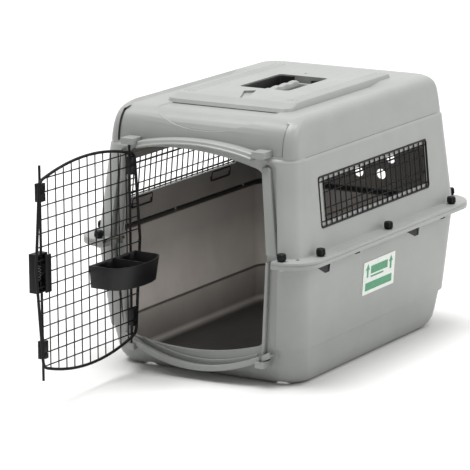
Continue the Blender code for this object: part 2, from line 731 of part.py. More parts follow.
def window_parts(side, label):
    """One side's grille, its two rails, its inner frame and its two clips, tilted with the wall."""
    wall_foot = UPPER_RINGS[2][1]
    wall_head = UPPER_RINGS[3][1]
    lean = math.atan((wall_foot - wall_head) / (SHOULDER - FLANGE_TOP))
    middle_z = sum(WINDOW_Z) / 2
    wall_x = wall_foot - (middle_z - FLANGE_TOP) * math.tan(lean)
    half_y = (WINDOW_Y[1] - WINDOW_Y[0]) / 2 - GRILLE_RADIUS - GAP
    half_z = (WINDOW_Z[1] - WINDOW_Z[0]) / 2 - GRILLE_RADIUS - GAP
    depth = -0.0022
    border = [(depth, y, z) for y, z in rounded_rectangle((-half_y, half_y), (-half_z, half_z), 0.0065, 2)]
    grille = tube("window_grille_" + label, border, GRILLE_RADIUS, 6, (1, 0, 0), closed=True)
    wires = []
    for i in range(GRILLE_WIRES):
        y = half_y * (2 * (i + 1) / (GRILLE_WIRES + 1) - 1)
        wires.append(rod("wire", (depth, y, -half_z), (depth, y, half_z), 0.0009, 4))
    combine(grille, join("wires", wires), "UNION")
    behind = depth - 0.0009 - 0.0012 - GAP
    pieces = [grille]
    for part, word in zip(GRILLE_RAILS, ("lower", "upper")):
        z = half_z * (2 * part - 1)
        ends = ((behind, -half_y + 0.0025, z), (behind, half_y - 0.0025, z))
        pieces.append(rod(f"window_rail_{label}_{word}", *ends, 0.0012, 6))
    inner = behind - 0.0012 - 0.0018 - GAP
    loop = [(inner, y, z) for y, z in rounded_rectangle((-half_y + 0.014, half_y - 0.014),
                                                       (-half_z + 0.018, half_z - 0.018), 0.010, 3)]
    pieces.append(tube("window_frame_" + label, loop, 0.0018, 6, (1, 0, 0), closed=True))
    for y, word in ((-CLIP_SPACING, "front"), (CLIP_SPACING, "rear")):
        span = (y - CLIP_HALF_LENGTH, y + CLIP_HALF_LENGTH)
        clip = rounded_rectangle(span, (-half_z - CLIP_DROP, -half_z + 0.004), 0.003, 1)
        path = [(-WALL - 0.0024, a, b) for a, b in clip]
        pieces.append(tube(f"window_clip_{label}_{word}", path, 0.0018, 6, (1, 0, 0), closed=True))
    turn = Matrix.Rotation(-lean, 4, "Y")
    place = Matrix.Translation((wall_x, sum(WINDOW_Y) / 2, middle_z)) @ turn
    if side < 0:
        place = Matrix.Scale(-1, 4, (1, 0, 0)) @ place
    for piece in pieces:
        piece.data.transform(place)
        if side < 0:
            piece.data.flip_normals()


# ---- Flange fasteners ----


def knob_nut(name, place):
    """A lobed knob with a blind bore for the bolt."""
    low = FLANGE_TOP + GAP
    rings = []
    for rise, radius in KNOB_PROFILE:
        z = low + rise
        ring = []
        for i in range(12):
            lobe = radius if i % 2 else radius * 0.84
            angle = math.pi * i / 6
            ring.append((place[0] + lobe * math.cos(angle), place[1] + lobe * math.sin(angle), z))
        rings.append(ring)
    knob = loft(name, rings, "black")
    bore_top = FLANGE_TOP + BOLT_STICKS_OUT + GAP
    bore = prism("bore", circle(place, BOLT_RADIUS + GAP, 8), "Z", low - 0.01, bore_top)
    return combine(knob, bore, "DIFFERENCE")


def flange_bolt(name, place):
    """A round-headed bolt up through both flanges."""
    low = FLANGE_BOTTOM - GAP
    top = FLANGE_TOP + BOLT_STICKS_OUT
    rings = []
    for z, radius in ((low - 0.004, 0.0060), (low, 0.0070), (low, BOLT_RADIUS), (top, BOLT_RADIUS)):
        rings.append([(x, y, z) for x, y in circle(place, radius, 8)])
    return loft(name, rings, "steel")


# ---- Carry handle ----


def handle_liner():
    """The black tray that lines the handle pocket."""
    width = POCKET_HALF_WIDTH - GAP
    span = (POCKET_Y[0] + GAP, POCKET_Y[1] - GAP)
    floor = POCKET_FLOOR + GAP
    top = TOTAL_HEIGHT - 0.003
    outline = rounded_rectangle((-width, width), span, POCKET_CORNER, 2)
    liner = prism("handle_liner", outline, "Z", floor, top, "black")
    width -= LINER_WALL
    span = (span[0] + LINER_WALL, span[1] - LINER_WALL)
    inner = rounded_rectangle((-width, width), span, POCKET_CORNER - LINER_WALL, 2)
    return combine(liner, prism("inside", inner, "Z", floor + LINER_WALL, top + 0.01), "DIFFERENCE")


def handle_pivot(name, end):
    """A bored block at the front (-1) or rear (1) of the pocket that holds the handle's pin."""
    pivot_x, middle_y, pivot_z = HANDLE_PIVOT
    half = (POCKET_Y[1] - POCKET_Y[0]) / 2 - GAP
    low = middle_y + end * PIVOT_BLOCK_FRONT
    high = middle_y + end * (half - LINER_WALL - GAP)
    floor = POCKET_FLOOR + LINER_WALL + 2 * GAP
    spans = ((pivot_x - 0.010, pivot_x + 0.010), sorted((low, high)), (floor, pivot_z + 0.010))
    block = box(name, spans, "black")
    ends = sorted((low - end * 0.01, high - end * 0.0012))
    bore = prism("bore", circle((pivot_x, pivot_z), PIN_RADIUS + 0.0005, 10), "Y", *ends)
    return combine(block, bore, "DIFFERENCE")


def carry_handle():
    """The folded handle: a humped grip on two arms, with a pin at each end."""
    pivot_x, middle_y, pivot_z = HANDLE_PIVOT
    inner, outer = HANDLE_ARM_Y
    pin_end = PIVOT_BLOCK_FRONT + 0.0032
    handle = rod("carry_handle", (0, -pin_end, 0), (0, pin_end, 0), PIN_RADIUS, 10, "grey_grip")
    arms = []
    for end in (-1, 1):
        spans = ((-HANDLE_REACH - 0.004, 0.001), sorted((end * inner, end * outer)), (-0.0035, 0.0045))
        arms.append(box("arm", spans))
    combine(handle, join("arms", arms), "UNION")
    between = inner - 0.001
    gap = box("gap", ((-0.01, 0.01), (-between, between), (-0.01, 0.01)))
    combine(handle, gap, "DIFFERENCE")
    rings = []
    steps = 4 * GRIP_HUMPS
    half = (inner + outer) / 2
    centre = (-HANDLE_REACH, 0.0010)
    for i in range(steps + 1):
        y = half * (2 * i / steps - 1)
        swell = GRIP_SWELL * (1 - math.cos(2 * math.pi * GRIP_HUMPS * i / steps)) / 2
        rings.append([(a, y, b + (swell if b > centre[1] else 0)) for a, b in circle(centre, GRIP_RADIUS, 8)])
    combine(handle, loft("grip", rings), "UNION")
    hinge = bpy.data.objects.new("handle_hinge", None)
    bpy.context.scene.collection.objects.link(hinge)
    hinge.location = (pivot_x, middle_y, pivot_z)
    handle.data.materials.clear()
    handle.data.materials.append(material("grey_grip"))
    handle.parent = hinge


def label_plate():
    """The blank carton-style label on the right wall, flat against it."""
    wall_head = LOWER_RINGS[2][1]
    crease_z, crease_x = LOWER_RINGS[3][:2]
    lean = math.atan((wall_head - crease_x) / (FLANGE_BOTTOM - crease_z))
    x = crease_x + (LABEL_CENTRE[1] - crease_z) * math.tan(lean) + GAP
    half_length, half_height = LABEL_HALVES
    spans = ((0.0, 0.0005), (-half_length, half_length), (-half_height, half_height))
    plate = box("label_plate", spans, "label")
    place = Matrix.Translation((x, *LABEL_CENTRE))
    plate.data.transform(place @ Matrix.Rotation(lean, 4, "Y"))


def main():
    clear_scene()
    upper_shell()
    lower_shell()
    door()
    window_parts(1, "right")
    window_parts(-1, "left")
    for index, place in enumerate(NUT_PLACES, 1):
        knob_nut(f"knob_nut_{index:02d}", place)
        flange_bolt(f"flange_bolt_{index:02d}", place)
    handle_liner()
    handle_pivot("handle_pivot_front", -1)
    handle_pivot("handle_pivot_rear", 1)
    carry_handle()
    label_plate()


main()
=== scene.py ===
"""The looks of a two-piece moulded pet kennel with a wire door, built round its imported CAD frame.

World axes are the frame's: +Z up, -Y is the door end and +X the kennel's right side. Door pieces are made
as if the door were shut and then turned about its hinge to where it hangs at rest.
"""

import json
import logging
import math
from dataclasses import dataclass
from enum import Enum
from typing import Any, Callable, Iterable, Sequence

import bmesh
import bpy
from mathutils import Matrix, Vector

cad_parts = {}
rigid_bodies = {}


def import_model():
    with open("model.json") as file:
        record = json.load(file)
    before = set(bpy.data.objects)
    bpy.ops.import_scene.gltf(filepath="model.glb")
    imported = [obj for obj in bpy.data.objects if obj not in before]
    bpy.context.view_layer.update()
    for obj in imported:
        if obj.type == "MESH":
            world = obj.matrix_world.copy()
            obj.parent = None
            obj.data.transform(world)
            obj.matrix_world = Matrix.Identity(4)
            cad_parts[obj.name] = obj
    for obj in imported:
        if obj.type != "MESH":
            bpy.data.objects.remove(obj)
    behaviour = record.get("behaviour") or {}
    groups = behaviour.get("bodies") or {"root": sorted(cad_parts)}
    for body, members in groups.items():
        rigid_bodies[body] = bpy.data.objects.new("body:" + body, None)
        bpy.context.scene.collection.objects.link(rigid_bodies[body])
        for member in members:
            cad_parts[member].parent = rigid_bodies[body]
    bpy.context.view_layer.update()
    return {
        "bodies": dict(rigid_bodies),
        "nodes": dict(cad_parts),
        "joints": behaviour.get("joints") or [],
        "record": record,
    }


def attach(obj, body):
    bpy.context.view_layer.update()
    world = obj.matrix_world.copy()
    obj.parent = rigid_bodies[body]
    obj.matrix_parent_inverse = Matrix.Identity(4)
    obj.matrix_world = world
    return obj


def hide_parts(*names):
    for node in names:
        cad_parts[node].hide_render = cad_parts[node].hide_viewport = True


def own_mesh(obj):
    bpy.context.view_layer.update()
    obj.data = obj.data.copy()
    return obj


LOG = logging.getLogger("kennel")
Point = tuple[float, float, float]
Flat = tuple[float, float]
Span = tuple[float, float]
Row = tuple[float, float, float, float, float]
Piece = bpy.types.Object
Tree = bpy.types.NodeTree
AHEAD = -0.40  # a y well in front of the kennel, where cutters start
SIDES = (-1, 1)


# ---- Colour and shader helpers ----


def srgb(code: str) -> tuple[float, float, float, float]:
    """Turns a code of a hash and six hex digits into linear red, green, blue and an alpha of one."""
    digits = code.lstrip("#")
    parts = []
    for start in (0, 2, 4):
        value = int(digits[start:start + 2], 16) / 255
        parts.append(value / 12.92 if value <= 0.04045 else ((value + 0.055) / 1.055) ** 2.4)
    return (parts[0], parts[1], parts[2], 1.0)


def add_node(tree: Tree, kind: str, links: dict[Any, Any] | None = None, **settings: Any) -> Any:
    """Adds one node to a tree, with its settings, values and links.

    Args:
        tree: The shader or geometry tree.
        kind: The node's bl_idname.
        links: For each input's name or index, a value or the output socket that feeds it.
        settings: Properties of the node itself.

    Returns:
        The new node.
    """
    node = tree.nodes.new(kind)
    for name, value in settings.items():
        setattr(node, name, value)
    for key, value in (links or {}).items():
        if isinstance(value, bpy.types.NodeSocket):
            tree.links.new(value, node.inputs[key])
        else:
            node.inputs[key].default_value = value
    return node


def noise(tree: Tree, place: Any, scale: float, detail: float) -> Any:
    """A noise texture's factor socket; scale is roughly in cycles a metre."""
    return add_node(tree, "ShaderNodeTexNoise", {"Vector": place, "Scale": scale, "Detail": detail}).outputs["Fac"]


def remap(tree: Tree, value: Any, source: Span, target: Span = (0.0, 1.0)) -> Any:
    """The socket of a value carried from one range to another."""
    limits = dict(zip(("From Min", "From Max", "To Min", "To Max"), (*source, *target)))
    return add_node(tree, "ShaderNodeMapRange", {"Value": value, **limits}).outputs["Result"]


def tint(tree: Tree, factor: Any, *stops: tuple[float, str]) -> Any:
    """The socket of a colour that runs between two (factor, hex code) stops."""
    ramp = add_node(tree, "ShaderNodeValToRGB", {"Fac": factor})
    for element, (position, code) in zip(ramp.color_ramp.elements, stops):
        element.position = position
        element.color = srgb(code)
    return ramp.outputs["Color"]


def relief(tree: Tree, height: Any, strength: float, distance: float) -> Any:
    """The normal socket of a bump."""
    links = {"Height": height, "Strength": strength, "Distance": distance}
    return add_node(tree, "ShaderNodeBump", links).outputs["Normal"]


@dataclass(frozen=True)
class Finish:
    """A surface finish, whose material is made once. Each kind says what feeds the shader."""

    name: str
    colour: str
    shade: str

    def surface(self, tree: Tree, place: Any) -> dict[str, Any]:
        """The values and sockets for the shader's inputs."""
        raise NotImplementedError

    def material(self) -> bpy.types.Material:
        """Builds the material once and returns it."""
        found = bpy.data.materials.get(self.name)
        if found:
            return found
        made = bpy.data.materials.new(self.name)
        made.use_nodes = True
        made.diffuse_color = srgb(self.colour)
        tree = made.node_tree
        tree.nodes.clear()
        place = add_node(tree, "ShaderNodeTexCoord").outputs["Object"]
        shader = add_node(tree, "ShaderNodeBsdfPrincipled", self.surface(tree, place))
        add_node(tree, "ShaderNodeOutputMaterial", {"Surface": shader.outputs["BSDF"]})
        return made


class Grain(Enum):
    """How a moulded surface was textured by its tool, as the scale of its noise."""

    SATIN = 850.0  # fine spark-eroded grain, soft sheen
    POLISHED = 400.0  # smooth tool face, clearer sheen
    STIPPLE = 620.0  # coarser stipple for grip


@dataclass(frozen=True)
class MouldedPlastic(Finish):
    """Injection-moulded polypropylene or nylon: faint flow clouding, fine tool grain and rubbed high spots."""

    roughness: float = 0.42
    grain: Grain = Grain.SATIN
    bump: float = 0.06
    sheen: float = 0.5
    painted_light_bands: tuple[Flat, ...] = ()

    def surface(self, tree: Tree, place: Any) -> dict[str, Any]:
        """Clouded colour, tool grain, and gloss varied by handling marks that run along the shell."""
        # Clouds are a few centimetres wide; the grain is coarser than the real 0.3 mm, so that it shows.
        colour = tint(tree, noise(tree, place, 14.0, 3.0), (0.30, self.shade), (0.72, self.colour))
        along = add_node(tree, "ShaderNodeMapping", {"Vector": place, "Scale": (60.0, 9.0, 90.0)}).outputs["Vector"]
        gloss = (self.roughness - 0.015, self.roughness + 0.025)
        return {
            # Where bands are given, the colour is multiplied by painted light and shade by height.
            "Base Color": self.paint_light_by_height(tree, place, colour) if self.painted_light_bands else colour,
            "Roughness": remap(tree, noise(tree, along, 1.6, 5.0), (0.35, 0.7), gloss),
            "Normal": relief(tree, noise(tree, place, self.grain.value, 2.0), self.bump, 0.0004),
            "IOR": 1.49,
            "Specular IOR Level": self.sheen,
        }

    def paint_light_by_height(self, tree: Tree, place: Any, colour: Any) -> Any:
        """Multiplies the colour by a ramp over height, painted light and shade for the inside as it is lit through
        the doorway, and returns the new colour socket.
        """
        height = add_node(tree, "ShaderNodeSeparateXYZ", {"Vector": place}).outputs["Z"]
        top = self.painted_light_bands[-1][0]
        ramp = add_node(tree, "ShaderNodeValToRGB", {"Fac": remap(tree, height, (0.0, top))})
        stops = ramp.color_ramp.elements
        stops[0].color = (self.painted_light_bands[0][1],) * 3 + (1.0,)
        stops[1].color = (self.painted_light_bands[-1][1],) * 3 + (1.0,)
        for level, share in self.painted_light_bands[1:-1]:
            stops.new(level / top).color = (share, share, share, 1.0)
        # Inputs 0, 6 and 7 of a colour mix are its factor and its two colours, and output 2 is the result.
        links = {0: 1.0, 6: colour, 7: ramp.outputs["Color"]}
        return add_node(tree, "ShaderNodeMix", data_type="RGBA", blend_type="MULTIPLY", links=links).outputs[2]


@dataclass(frozen=True)
class CoatedSteel(Finish):
    """Steel under powder coat or zinc: orange-peel ripple and slightly varied gloss. The shade is its worn tone."""

    roughness: float = 0.4
    metallic: float = 0.0
    ripple: float = 0.12
    sheen: float = 0.5

    def surface(self, tree: Tree, place: Any) -> dict[str, Any]:
        """Worn patches about 20 mm long over orange peel with a pitch of about 1.5 mm."""
        patch = noise(tree, place, 48.0, 4.0)
        return {
            "Base Color": tint(tree, patch, (0.52, self.colour), (0.80, self.shade)),
            "Roughness": remap(tree, patch, (0.0, 1.0), (self.roughness - 0.06, self.roughness + 0.08)),
            "Normal": relief(tree, noise(tree, place, 700.0, 1.0), self.ripple, 0.0002),
            "Metallic": self.metallic,
            "Specular IOR Level": self.sheen,
        }


@dataclass(frozen=True)
class PrintedFilm(Finish):
    """Satin vinyl sticker film or the ink on it: a faint paper tooth under a thin laminate."""

    def surface(self, tree: Tree, place: Any) -> dict[str, Any]:
        """Ink mottle of about 6 mm over a paper tooth of about 0.8 mm."""
        return {
            "Base Color": tint(tree, noise(tree, place, 160.0, 3.0), (0.35, self.shade), (0.60, self.colour)),
            "Roughness": 0.38,
            "Normal": relief(tree, noise(tree, place, 1200.0, 2.0), 0.05, 0.0001),
        }


# Light grey polypropylene shells, moulded with a satin tool finish: soft broad highlights, crisp bright rims.
SHELL = MouldedPlastic("grey_polypropylene", "#8E908D", "#898B88", roughness=0.36, bump=0.05)
# Inside the shells the tool was left smoother. The colour is painted paler and warmer than outside, to stand for
# light coming in through the doorway, and its bands by height are painted light and shade.
INSIDE_PAINTED_LIGHT = MouldedPlastic(
    "inner_polypropylene", "#CFC8C1", "#C2BBB5", roughness=0.36, grain=Grain.POLISHED, bump=0.03,
    painted_light_bands=(
        (0.0, 0.06), (0.0060, 0.07), (0.0120, 0.75), (0.0200, 0.30),  # painted shadow on the floor, painted highlight on its rounded edge
        (0.0740, 0.62), (0.0752, 0.16), (0.0774, 0.16), (0.0790, 1.0),  # painted shade in the crease, brightest painted light just above it
        (0.1200, 0.90), (0.2000, 0.50), (0.2460, 0.42),  # lower wall, painted darker upwards, away from the light
        (0.2464, 0.02), (0.2572, 0.02), (0.2577, 0.24), (0.4600, 0.10),  # painted shade, nearly black, in the flange channel, then painted shade on the upper wall
    ),
)
# The moulded stippled grip is a shade lighter than the shell it folds into.
GRIP = MouldedPlastic("grip_polypropylene", "#979896", "#8F918F", roughness=0.46, grain=Grain.STIPPLE, bump=0.14)
# Black nylon knobs, latch and clips: satin, slightly bluish.
BLACK = MouldedPlastic("black_nylon", "#0D0D0E", "#09090A", roughness=0.46, sheen=0.22, bump=0.10)
# Black polypropylene bowl and tray: smoother, so it mirrors the room a little.
TRAY = MouldedPlastic(
    "black_polypropylene", "#0E0E11", "#09090B", roughness=0.40, sheen=0.34, grain=Grain.POLISHED, bump=0.05
)
# Black powder coat over steel wire: semi-gloss with orange peel.
WIRE = CoatedSteel("black_powder_coat", "#09090A", "#121213", 0.46, 0.0, sheen=0.22)
# Zinc-plated bolts and spring wire: bright, a little cloudy.
ZINC = CoatedSteel("zinc_plate", "#A9AAA8", "#8F908E", 0.34, 1.0, 0.05)
# The sticker: white laminated film, with one green ink.
FILM = PrintedFilm("white_label_film", "#D6DAD5", "#CDD2CB")
INK = PrintedFilm("green_label_ink", "#2F8A5E", "#287E54")


# ---- Mesh helpers ----


def link(name: str, data: Any) -> Piece:
    """Links a new object for a mesh, a lamp or a camera."""
    made = bpy.data.objects.new(name, data)
    bpy.context.scene.collection.objects.link(made)
    return made


def new_object(name: str, mesh: bpy.types.Mesh, finish: Finish) -> Piece:
    """Links an object for a mesh and gives it one finish."""
    mesh.materials.clear()
    mesh.materials.append(finish.material())
    return link(name, mesh)


def solid(name: str, points: Iterable[Point], faces: Iterable[Sequence[int]], finish: Finish) -> Piece:
    """A mesh object whose doubles are merged and whose faces are turned outwards."""
    mesh = bpy.data.meshes.new(name)
    mesh.from_pydata([tuple(p) for p in points], [], [list(f) for f in faces])
    work = bmesh.new()
    work.from_mesh(mesh)
    bmesh.ops.remove_doubles(work, verts=work.verts, dist=0.000005)
    bmesh.ops.recalc_face_normals(work, faces=work.faces)
    work.to_mesh(mesh)
    work.free()
    return new_object(name, mesh, finish)


def smooth(piece: Piece, degrees: float = 32.0) -> Piece:
    """Shades a piece smooth, with sharp edges where its faces turn by more than an angle."""
    piece.data.shade_smooth()
    piece.data.set_sharp_from_angle(angle=math.radians(degrees))
    return piece


def settle(piece: Piece) -> Piece:
    """Turns a piece's live modifiers into plain mesh."""
    graph = bpy.context.evaluated_depsgraph_get()
    mesh = bpy.data.meshes.new_from_object(piece.evaluated_get(graph))
    piece.modifiers.clear()
    piece.data = mesh
    return piece


def combine(target: Piece, tool: Piece, operation: str) -> Piece:
    """Applies one Boolean to a target and removes the tool."""
    step = target.modifiers.new("step", "BOOLEAN")
    step.operation = operation
    step.solver = "EXACT"
    step.material_mode = "TRANSFER"
    step.object = tool
    settle(target)
    bpy.data.objects.remove(tool)
    return target


def cut(target: Piece, *tools: Piece) -> Piece:
    """Takes each tool out of a target."""
    for tool in tools:
        combine(target, tool, "DIFFERENCE")
    return target


def add(target: Piece, *tools: Piece) -> Piece:
    """Fuses each tool to a target."""
    for tool in tools:
        combine(target, tool, "UNION")
    return target


def round_edges(piece: Piece, width: float, segments: int = 2, degrees: float = 35.0) -> Piece:
    """Rounds a piece's sharp edges by a small radius."""
    step = piece.modifiers.new("edges", "BEVEL")
    step.width = width
    step.segments = segments
    step.limit_method = "ANGLE"
    step.angle_limit = math.radians(degrees)
    step.use_clamp_overlap = True
    return smooth(settle(piece), degrees)


def walls(count: int, pairs: Iterable[tuple[int, int]]) -> list[list[int]]:
    """Quads between pairs of rings, each ring given by its number and holding the same count of points."""
    faces = []
    for low, high in pairs:
        for i in range(count):
            j = (i + 1) % count
            faces.append([low * count + i, low * count + j, high * count + j, high * count + i])
    return faces


def loft(name: str, rings: Sequence[Sequence[Point]], finish: Finish = SHELL) -> Piece:
    """A solid through rings of equally many points, capped at its ends."""
    count, last = len(rings[0]), len(rings) - 1
    faces = walls(count, [(level, level + 1) for level in range(last)])
    faces += [list(range(count)), [last * count + i for i in range(count)]]
    return solid(name, [p for ring in rings for p in ring], faces, finish)


def prism(name: str, outline: Sequence[Flat], axis: str, span: Span, finish: Finish = SHELL) -> Piece:
    """An outline extruded along an axis: 'X' takes (y, z) points, 'Y' (x, z) and 'Z' (x, y)."""
    put: dict[str, Callable[[float, float, float], Point]] = {
        "X": lambda a, b, c: (c, a, b),
        "Y": lambda a, b, c: (a, c, b),
        "Z": lambda a, b, c: (a, b, c),
    }
    return loft(name, [[put[axis](a, b, level) for a, b in outline] for level in span], finish)


def box(name: str, spans: Sequence[Span], finish: Finish = SHELL) -> Piece:
    """A block from its (low, high) spans along X, Y and Z."""
    (x0, x1), (y0, y1), z_span = spans
    return prism(name, ((x0, y0), (x1, y0), (x1, y1), (x0, y1)), "Z", z_span, finish)


def rounded_rectangle(a_span: Span, b_span: Span, radius: float, steps: int = 8) -> list[Flat]:
    """Points of a rectangle with round corners, anticlockwise from its lower right corner."""
    (a0, a1), (b0, b1) = a_span, b_span
    middles = (
        (a1 - radius, b0 + radius, -90), (a1 - radius, b1 - radius, 0),
        (a0 + radius, b1 - radius, 90), (a0 + radius, b0 + radius, 180),
    )
    points = []
    for a, b, start in middles:
        for i in range(steps + 1):
            angle = math.radians(start + 90 * i / steps)
            points.append((a + radius * math.cos(angle), b + radius * math.sin(angle)))
    return points


def circle(centre: Flat, radius: float, sides: int = 24) -> list[Flat]:
    """Points of a circle round a centre."""
    turn = 2 * math.pi / sides
    return [(centre[0] + radius * math.cos(i * turn), centre[1] + radius * math.sin(i * turn)) for i in range(sides)]


def softened(node: str, body: str, finish: Finish, width: float) -> Piece:
    """Stands a copy of a CAD node, its edges rounded by a width, in the node's place on a body."""
    mesh = bpy.data.objects[node].data.copy()
    work = bmesh.new()
    work.from_mesh(mesh)
    bmesh.ops.remove_doubles(work, verts=work.verts, dist=0.00002)
    bmesh.ops.dissolve_limit(work, angle_limit=math.radians(1.0), verts=work.verts, edges=work.edges)
    work.to_mesh(mesh)
    work.free()
    piece = round_edges(new_object(node + "_soft", mesh, finish), width)
    return place_on(piece, body, node)


def place_on(piece: Piece, body: str, *nodes: str, slot: str = "") -> Piece:
    """Lets a finished piece ride on a body and stand for its CAD nodes."""
    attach(piece, body)
    if nodes:
        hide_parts(*nodes)
    LOG.info("%s on %s, %d faces, for %s", piece.name, body, len(piece.data.polygons), ", ".join(nodes) or "detail")
    return piece


def joined(name: str, pieces: Sequence[Piece]) -> Piece:
    """One object from several, each kept as it is."""
    work = bmesh.new()
    mesh = bpy.data.meshes.new(name)
    for material in pieces[0].data.materials:
        mesh.materials.append(material)
    for piece in pieces:
        work.from_mesh(piece.data)
        bpy.data.objects.remove(piece)
    work.to_mesh(mesh)
    work.free()
    return link(name, mesh)


# ---- Geometry Nodes ----


class NodeTool:
    """A Geometry Nodes tree with named inputs that is run on an object, leaving plain mesh."""

    def __init__(self, name: str, **inputs: str) -> None:
        """Starts a tree with a geometry input and output, a material and inputs of these socket types."""
        self.tree = bpy.data.node_groups.new(name, "GeometryNodeTree")
        face = self.tree.interface
        for way in ("INPUT", "OUTPUT"):
            face.new_socket("Geometry", in_out=way, socket_type="NodeSocketGeometry")
        kinds = {**inputs, "Material": "NodeSocketMaterial"}
        self.keys = {key: face.new_socket(key, in_out="INPUT", socket_type=kinds[key]).identifier for key in kinds}
        self.start = add_node(self.tree, "NodeGroupInput").outputs

    def finish(self, result: bpy.types.NodeSocket) -> None:
        """Ends the tree: real geometry with its material."""
        real = add_node(self.tree, "GeometryNodeRealizeInstances", {"Geometry": result})
        links = {"Geometry": real.outputs["Geometry"], "Material": self.start["Material"]}
        dressed = add_node(self.tree, "GeometryNodeSetMaterial", links)
        add_node(self.tree, "NodeGroupOutput", {"Geometry": dressed.outputs["Geometry"]})

    def run(self, piece: Piece, finish: Finish, **values: Any) -> Piece:
        """Runs the tree on a piece with these input values and keeps the plain mesh."""
        step = piece.modifiers.new(self.tree.name, "NODES")
        step.node_group = self.tree
        step[self.keys["Material"]] = finish.material()
        for name, value in values.items():
            step[self.keys[name]] = value
        settle(piece)
        piece.data.materials.clear()
        piece.data.materials.append(finish.material())
        return piece


class WireTool(NodeTool):
    """Sweeps a round section along every chain of edges."""

    def __init__(self) -> None:
        """Builds the tree."""
        super().__init__("round_wire", Radius="NodeSocketFloat", Sides="NodeSocketInt")
        path = add_node(self.tree, "GeometryNodeMeshToCurve", {"Mesh": self.start["Geometry"]})
        links = {"Resolution": self.start["Sides"], "Radius": self.start["Radius"]}
        section = add_node(self.tree, "GeometryNodeCurvePrimitiveCircle", links)
        links = {"Curve": path.outputs["Curve"], "Profile Curve": section.outputs["Curve"], "Fill Caps": True}
        self.finish(add_node(self.tree, "GeometryNodeCurveToMesh", links).outputs["Mesh"])

    def wires(self, name: str, paths: Sequence[Sequence[Point]], radius: float, finish: Finish,
              loops: bool = False, sides: int = 10) -> Piece:
        """Makes round wires along paths.

        Args:
            name: The object's name.
            paths: The points of each wire.
            radius: The wire's radius.
            finish: The wire's finish.
            loops: Whether each path closes on itself.
            sides: How many sides the section has.

        Returns:
            One object that holds all the wires.
        """
        points: list[Point] = []
        edges: list[tuple[int, int]] = []
        for path in paths:
            first = len(points)
            points += [tuple(p) for p in path]
            edges += [(first + i, first + i + 1) for i in range(len(path) - 1)]
            if loops:
                edges.append((len(points) - 1, first))
        mesh = bpy.data.meshes.new(name)
        mesh.from_pydata(points, edges, [])
        piece = new_object(name, mesh, finish)
        self.run(piece, finish, Radius=radius, Sides=sides)
        return smooth(piece, 50.0)


class CopyTool(NodeTool):
    """Sets a copy of one shape on every point."""

    def __init__(self) -> None:
        """Builds the tree."""
        super().__init__("copies", Shape="NodeSocketObject")
        shape = add_node(self.tree, "GeometryNodeObjectInfo", {"Object": self.start["Shape"]})
        dots = add_node(self.tree, "GeometryNodeMeshToPoints", {"Mesh": self.start["Geometry"]})
        links = {"Points": dots.outputs["Points"], "Instance": shape.outputs["Geometry"]}
        self.finish(add_node(self.tree, "GeometryNodeInstanceOnPoints", links).outputs["Instances"])

    def copies(self, name: str, shape: Piece, places: Sequence[Point], finish: Finish,
               degrees: float = 32.0) -> Piece:
        """Sets copies of a shape, modelled round the origin, at places, and removes the shape."""
        mesh = bpy.data.meshes.new(name)
        mesh.from_pydata([tuple(p) for p in places], [], [])
        piece = new_object(name, mesh, finish)
        self.run(piece, finish, Shape=shape)
        bpy.data.objects.remove(shape)
        return smooth(piece, degrees)


# ---- The shells ----


@dataclass
class Doorway:
    """The barrel-shaped outline that the door, its recess and its opening share, in (x, z)."""

    half_top: float = 0.1543
    half_middle: float = 0.1691
    half_bottom: float = 0.1517
    corner_top: float = 0.4253
    apex_top: float = 0.4490
    middle: float = 0.2583
    corner_bottom: float = 0.0716
    apex_bottom: float = 0.0455
    door_y: float = -0.3165
    ledge_y: float = -0.3132
    way_left: tuple[Flat, ...] = ((-0.1610, 0.4320), (-0.1756, 0.2583), (-0.1590, 0.0650))
    way_right: tuple[Flat, ...] = ((0.1405, 0.0800), (0.1505, 0.2583), (0.1425, 0.4170))
    way_rise: float = 0.0190
    way_drop: float = 0.0215

    def half_width_at(self, z: float) -> float:
        """Half the door's width at a height."""
        if z > self.middle:
            part = (z - self.middle) / (self.corner_top - self.middle)
            return self.half_middle + (self.half_top - self.half_middle) * part
        part = (self.middle - z) / (self.middle - self.corner_bottom)
        return self.half_middle + (self.half_bottom - self.half_middle) * part

    def top_at(self, x: float, margin: float = 0.0) -> float:
        """Height of the arched top over x."""
        rise = self.apex_top - self.corner_top
        return self.corner_top + margin + rise * (1 - (x / (self.half_top + margin)) ** 2)

    def bottom_at(self, x: float, margin: float = 0.0) -> float:
        """Height of the bowed bottom under x."""
        drop = self.corner_bottom - self.apex_bottom
        return self.corner_bottom - margin - drop * (1 - (x / (self.half_bottom + margin)) ** 2)

    def outline(self, margin: float = 0.0, steps: int = 16, corner: float = 0.0) -> list[Flat]:
        """The door's outline grown by a margin, with its four corners rounded by a radius."""
        shares = [1 - 2 * i / steps for i in range(steps + 1)]
        top_half, low_half = self.half_top + margin, self.half_bottom + margin
        points: list[Flat] = [(self.half_middle + margin, self.middle)]
        points += [(top_half * share, self.top_at(top_half * share, margin)) for share in shares]
        points.append((-self.half_middle - margin, self.middle))
        points += [(-low_half * share, self.bottom_at(-low_half * share, margin)) for share in shares]
        return rounded(points, corner) if corner else points

    def way(self, steps: int = 14, corner: float = 0.022) -> list[Flat]:
        """The clear opening, wider on the hinge side, with round corners."""
        left, right = self.way_left, self.way_right
        points = [right[1], *bowed(right[2], left[0], self.way_rise, steps)]
        points += [left[1], *bowed(left[2], right[0], -self.way_drop, steps)]
        return rounded(points, corner)


def bowed(start: Flat, end: Flat, rise: float, steps: int) -> list[Flat]:
    """Points from a start to an end, lifted by a rise at the middle."""
    shares = [i / steps for i in range(steps + 1)]
    return [
        (start[0] + (end[0] - start[0]) * t, start[1] + (end[1] - start[1]) * t + 4 * t * (1 - t) * rise)
        for t in shares
    ]


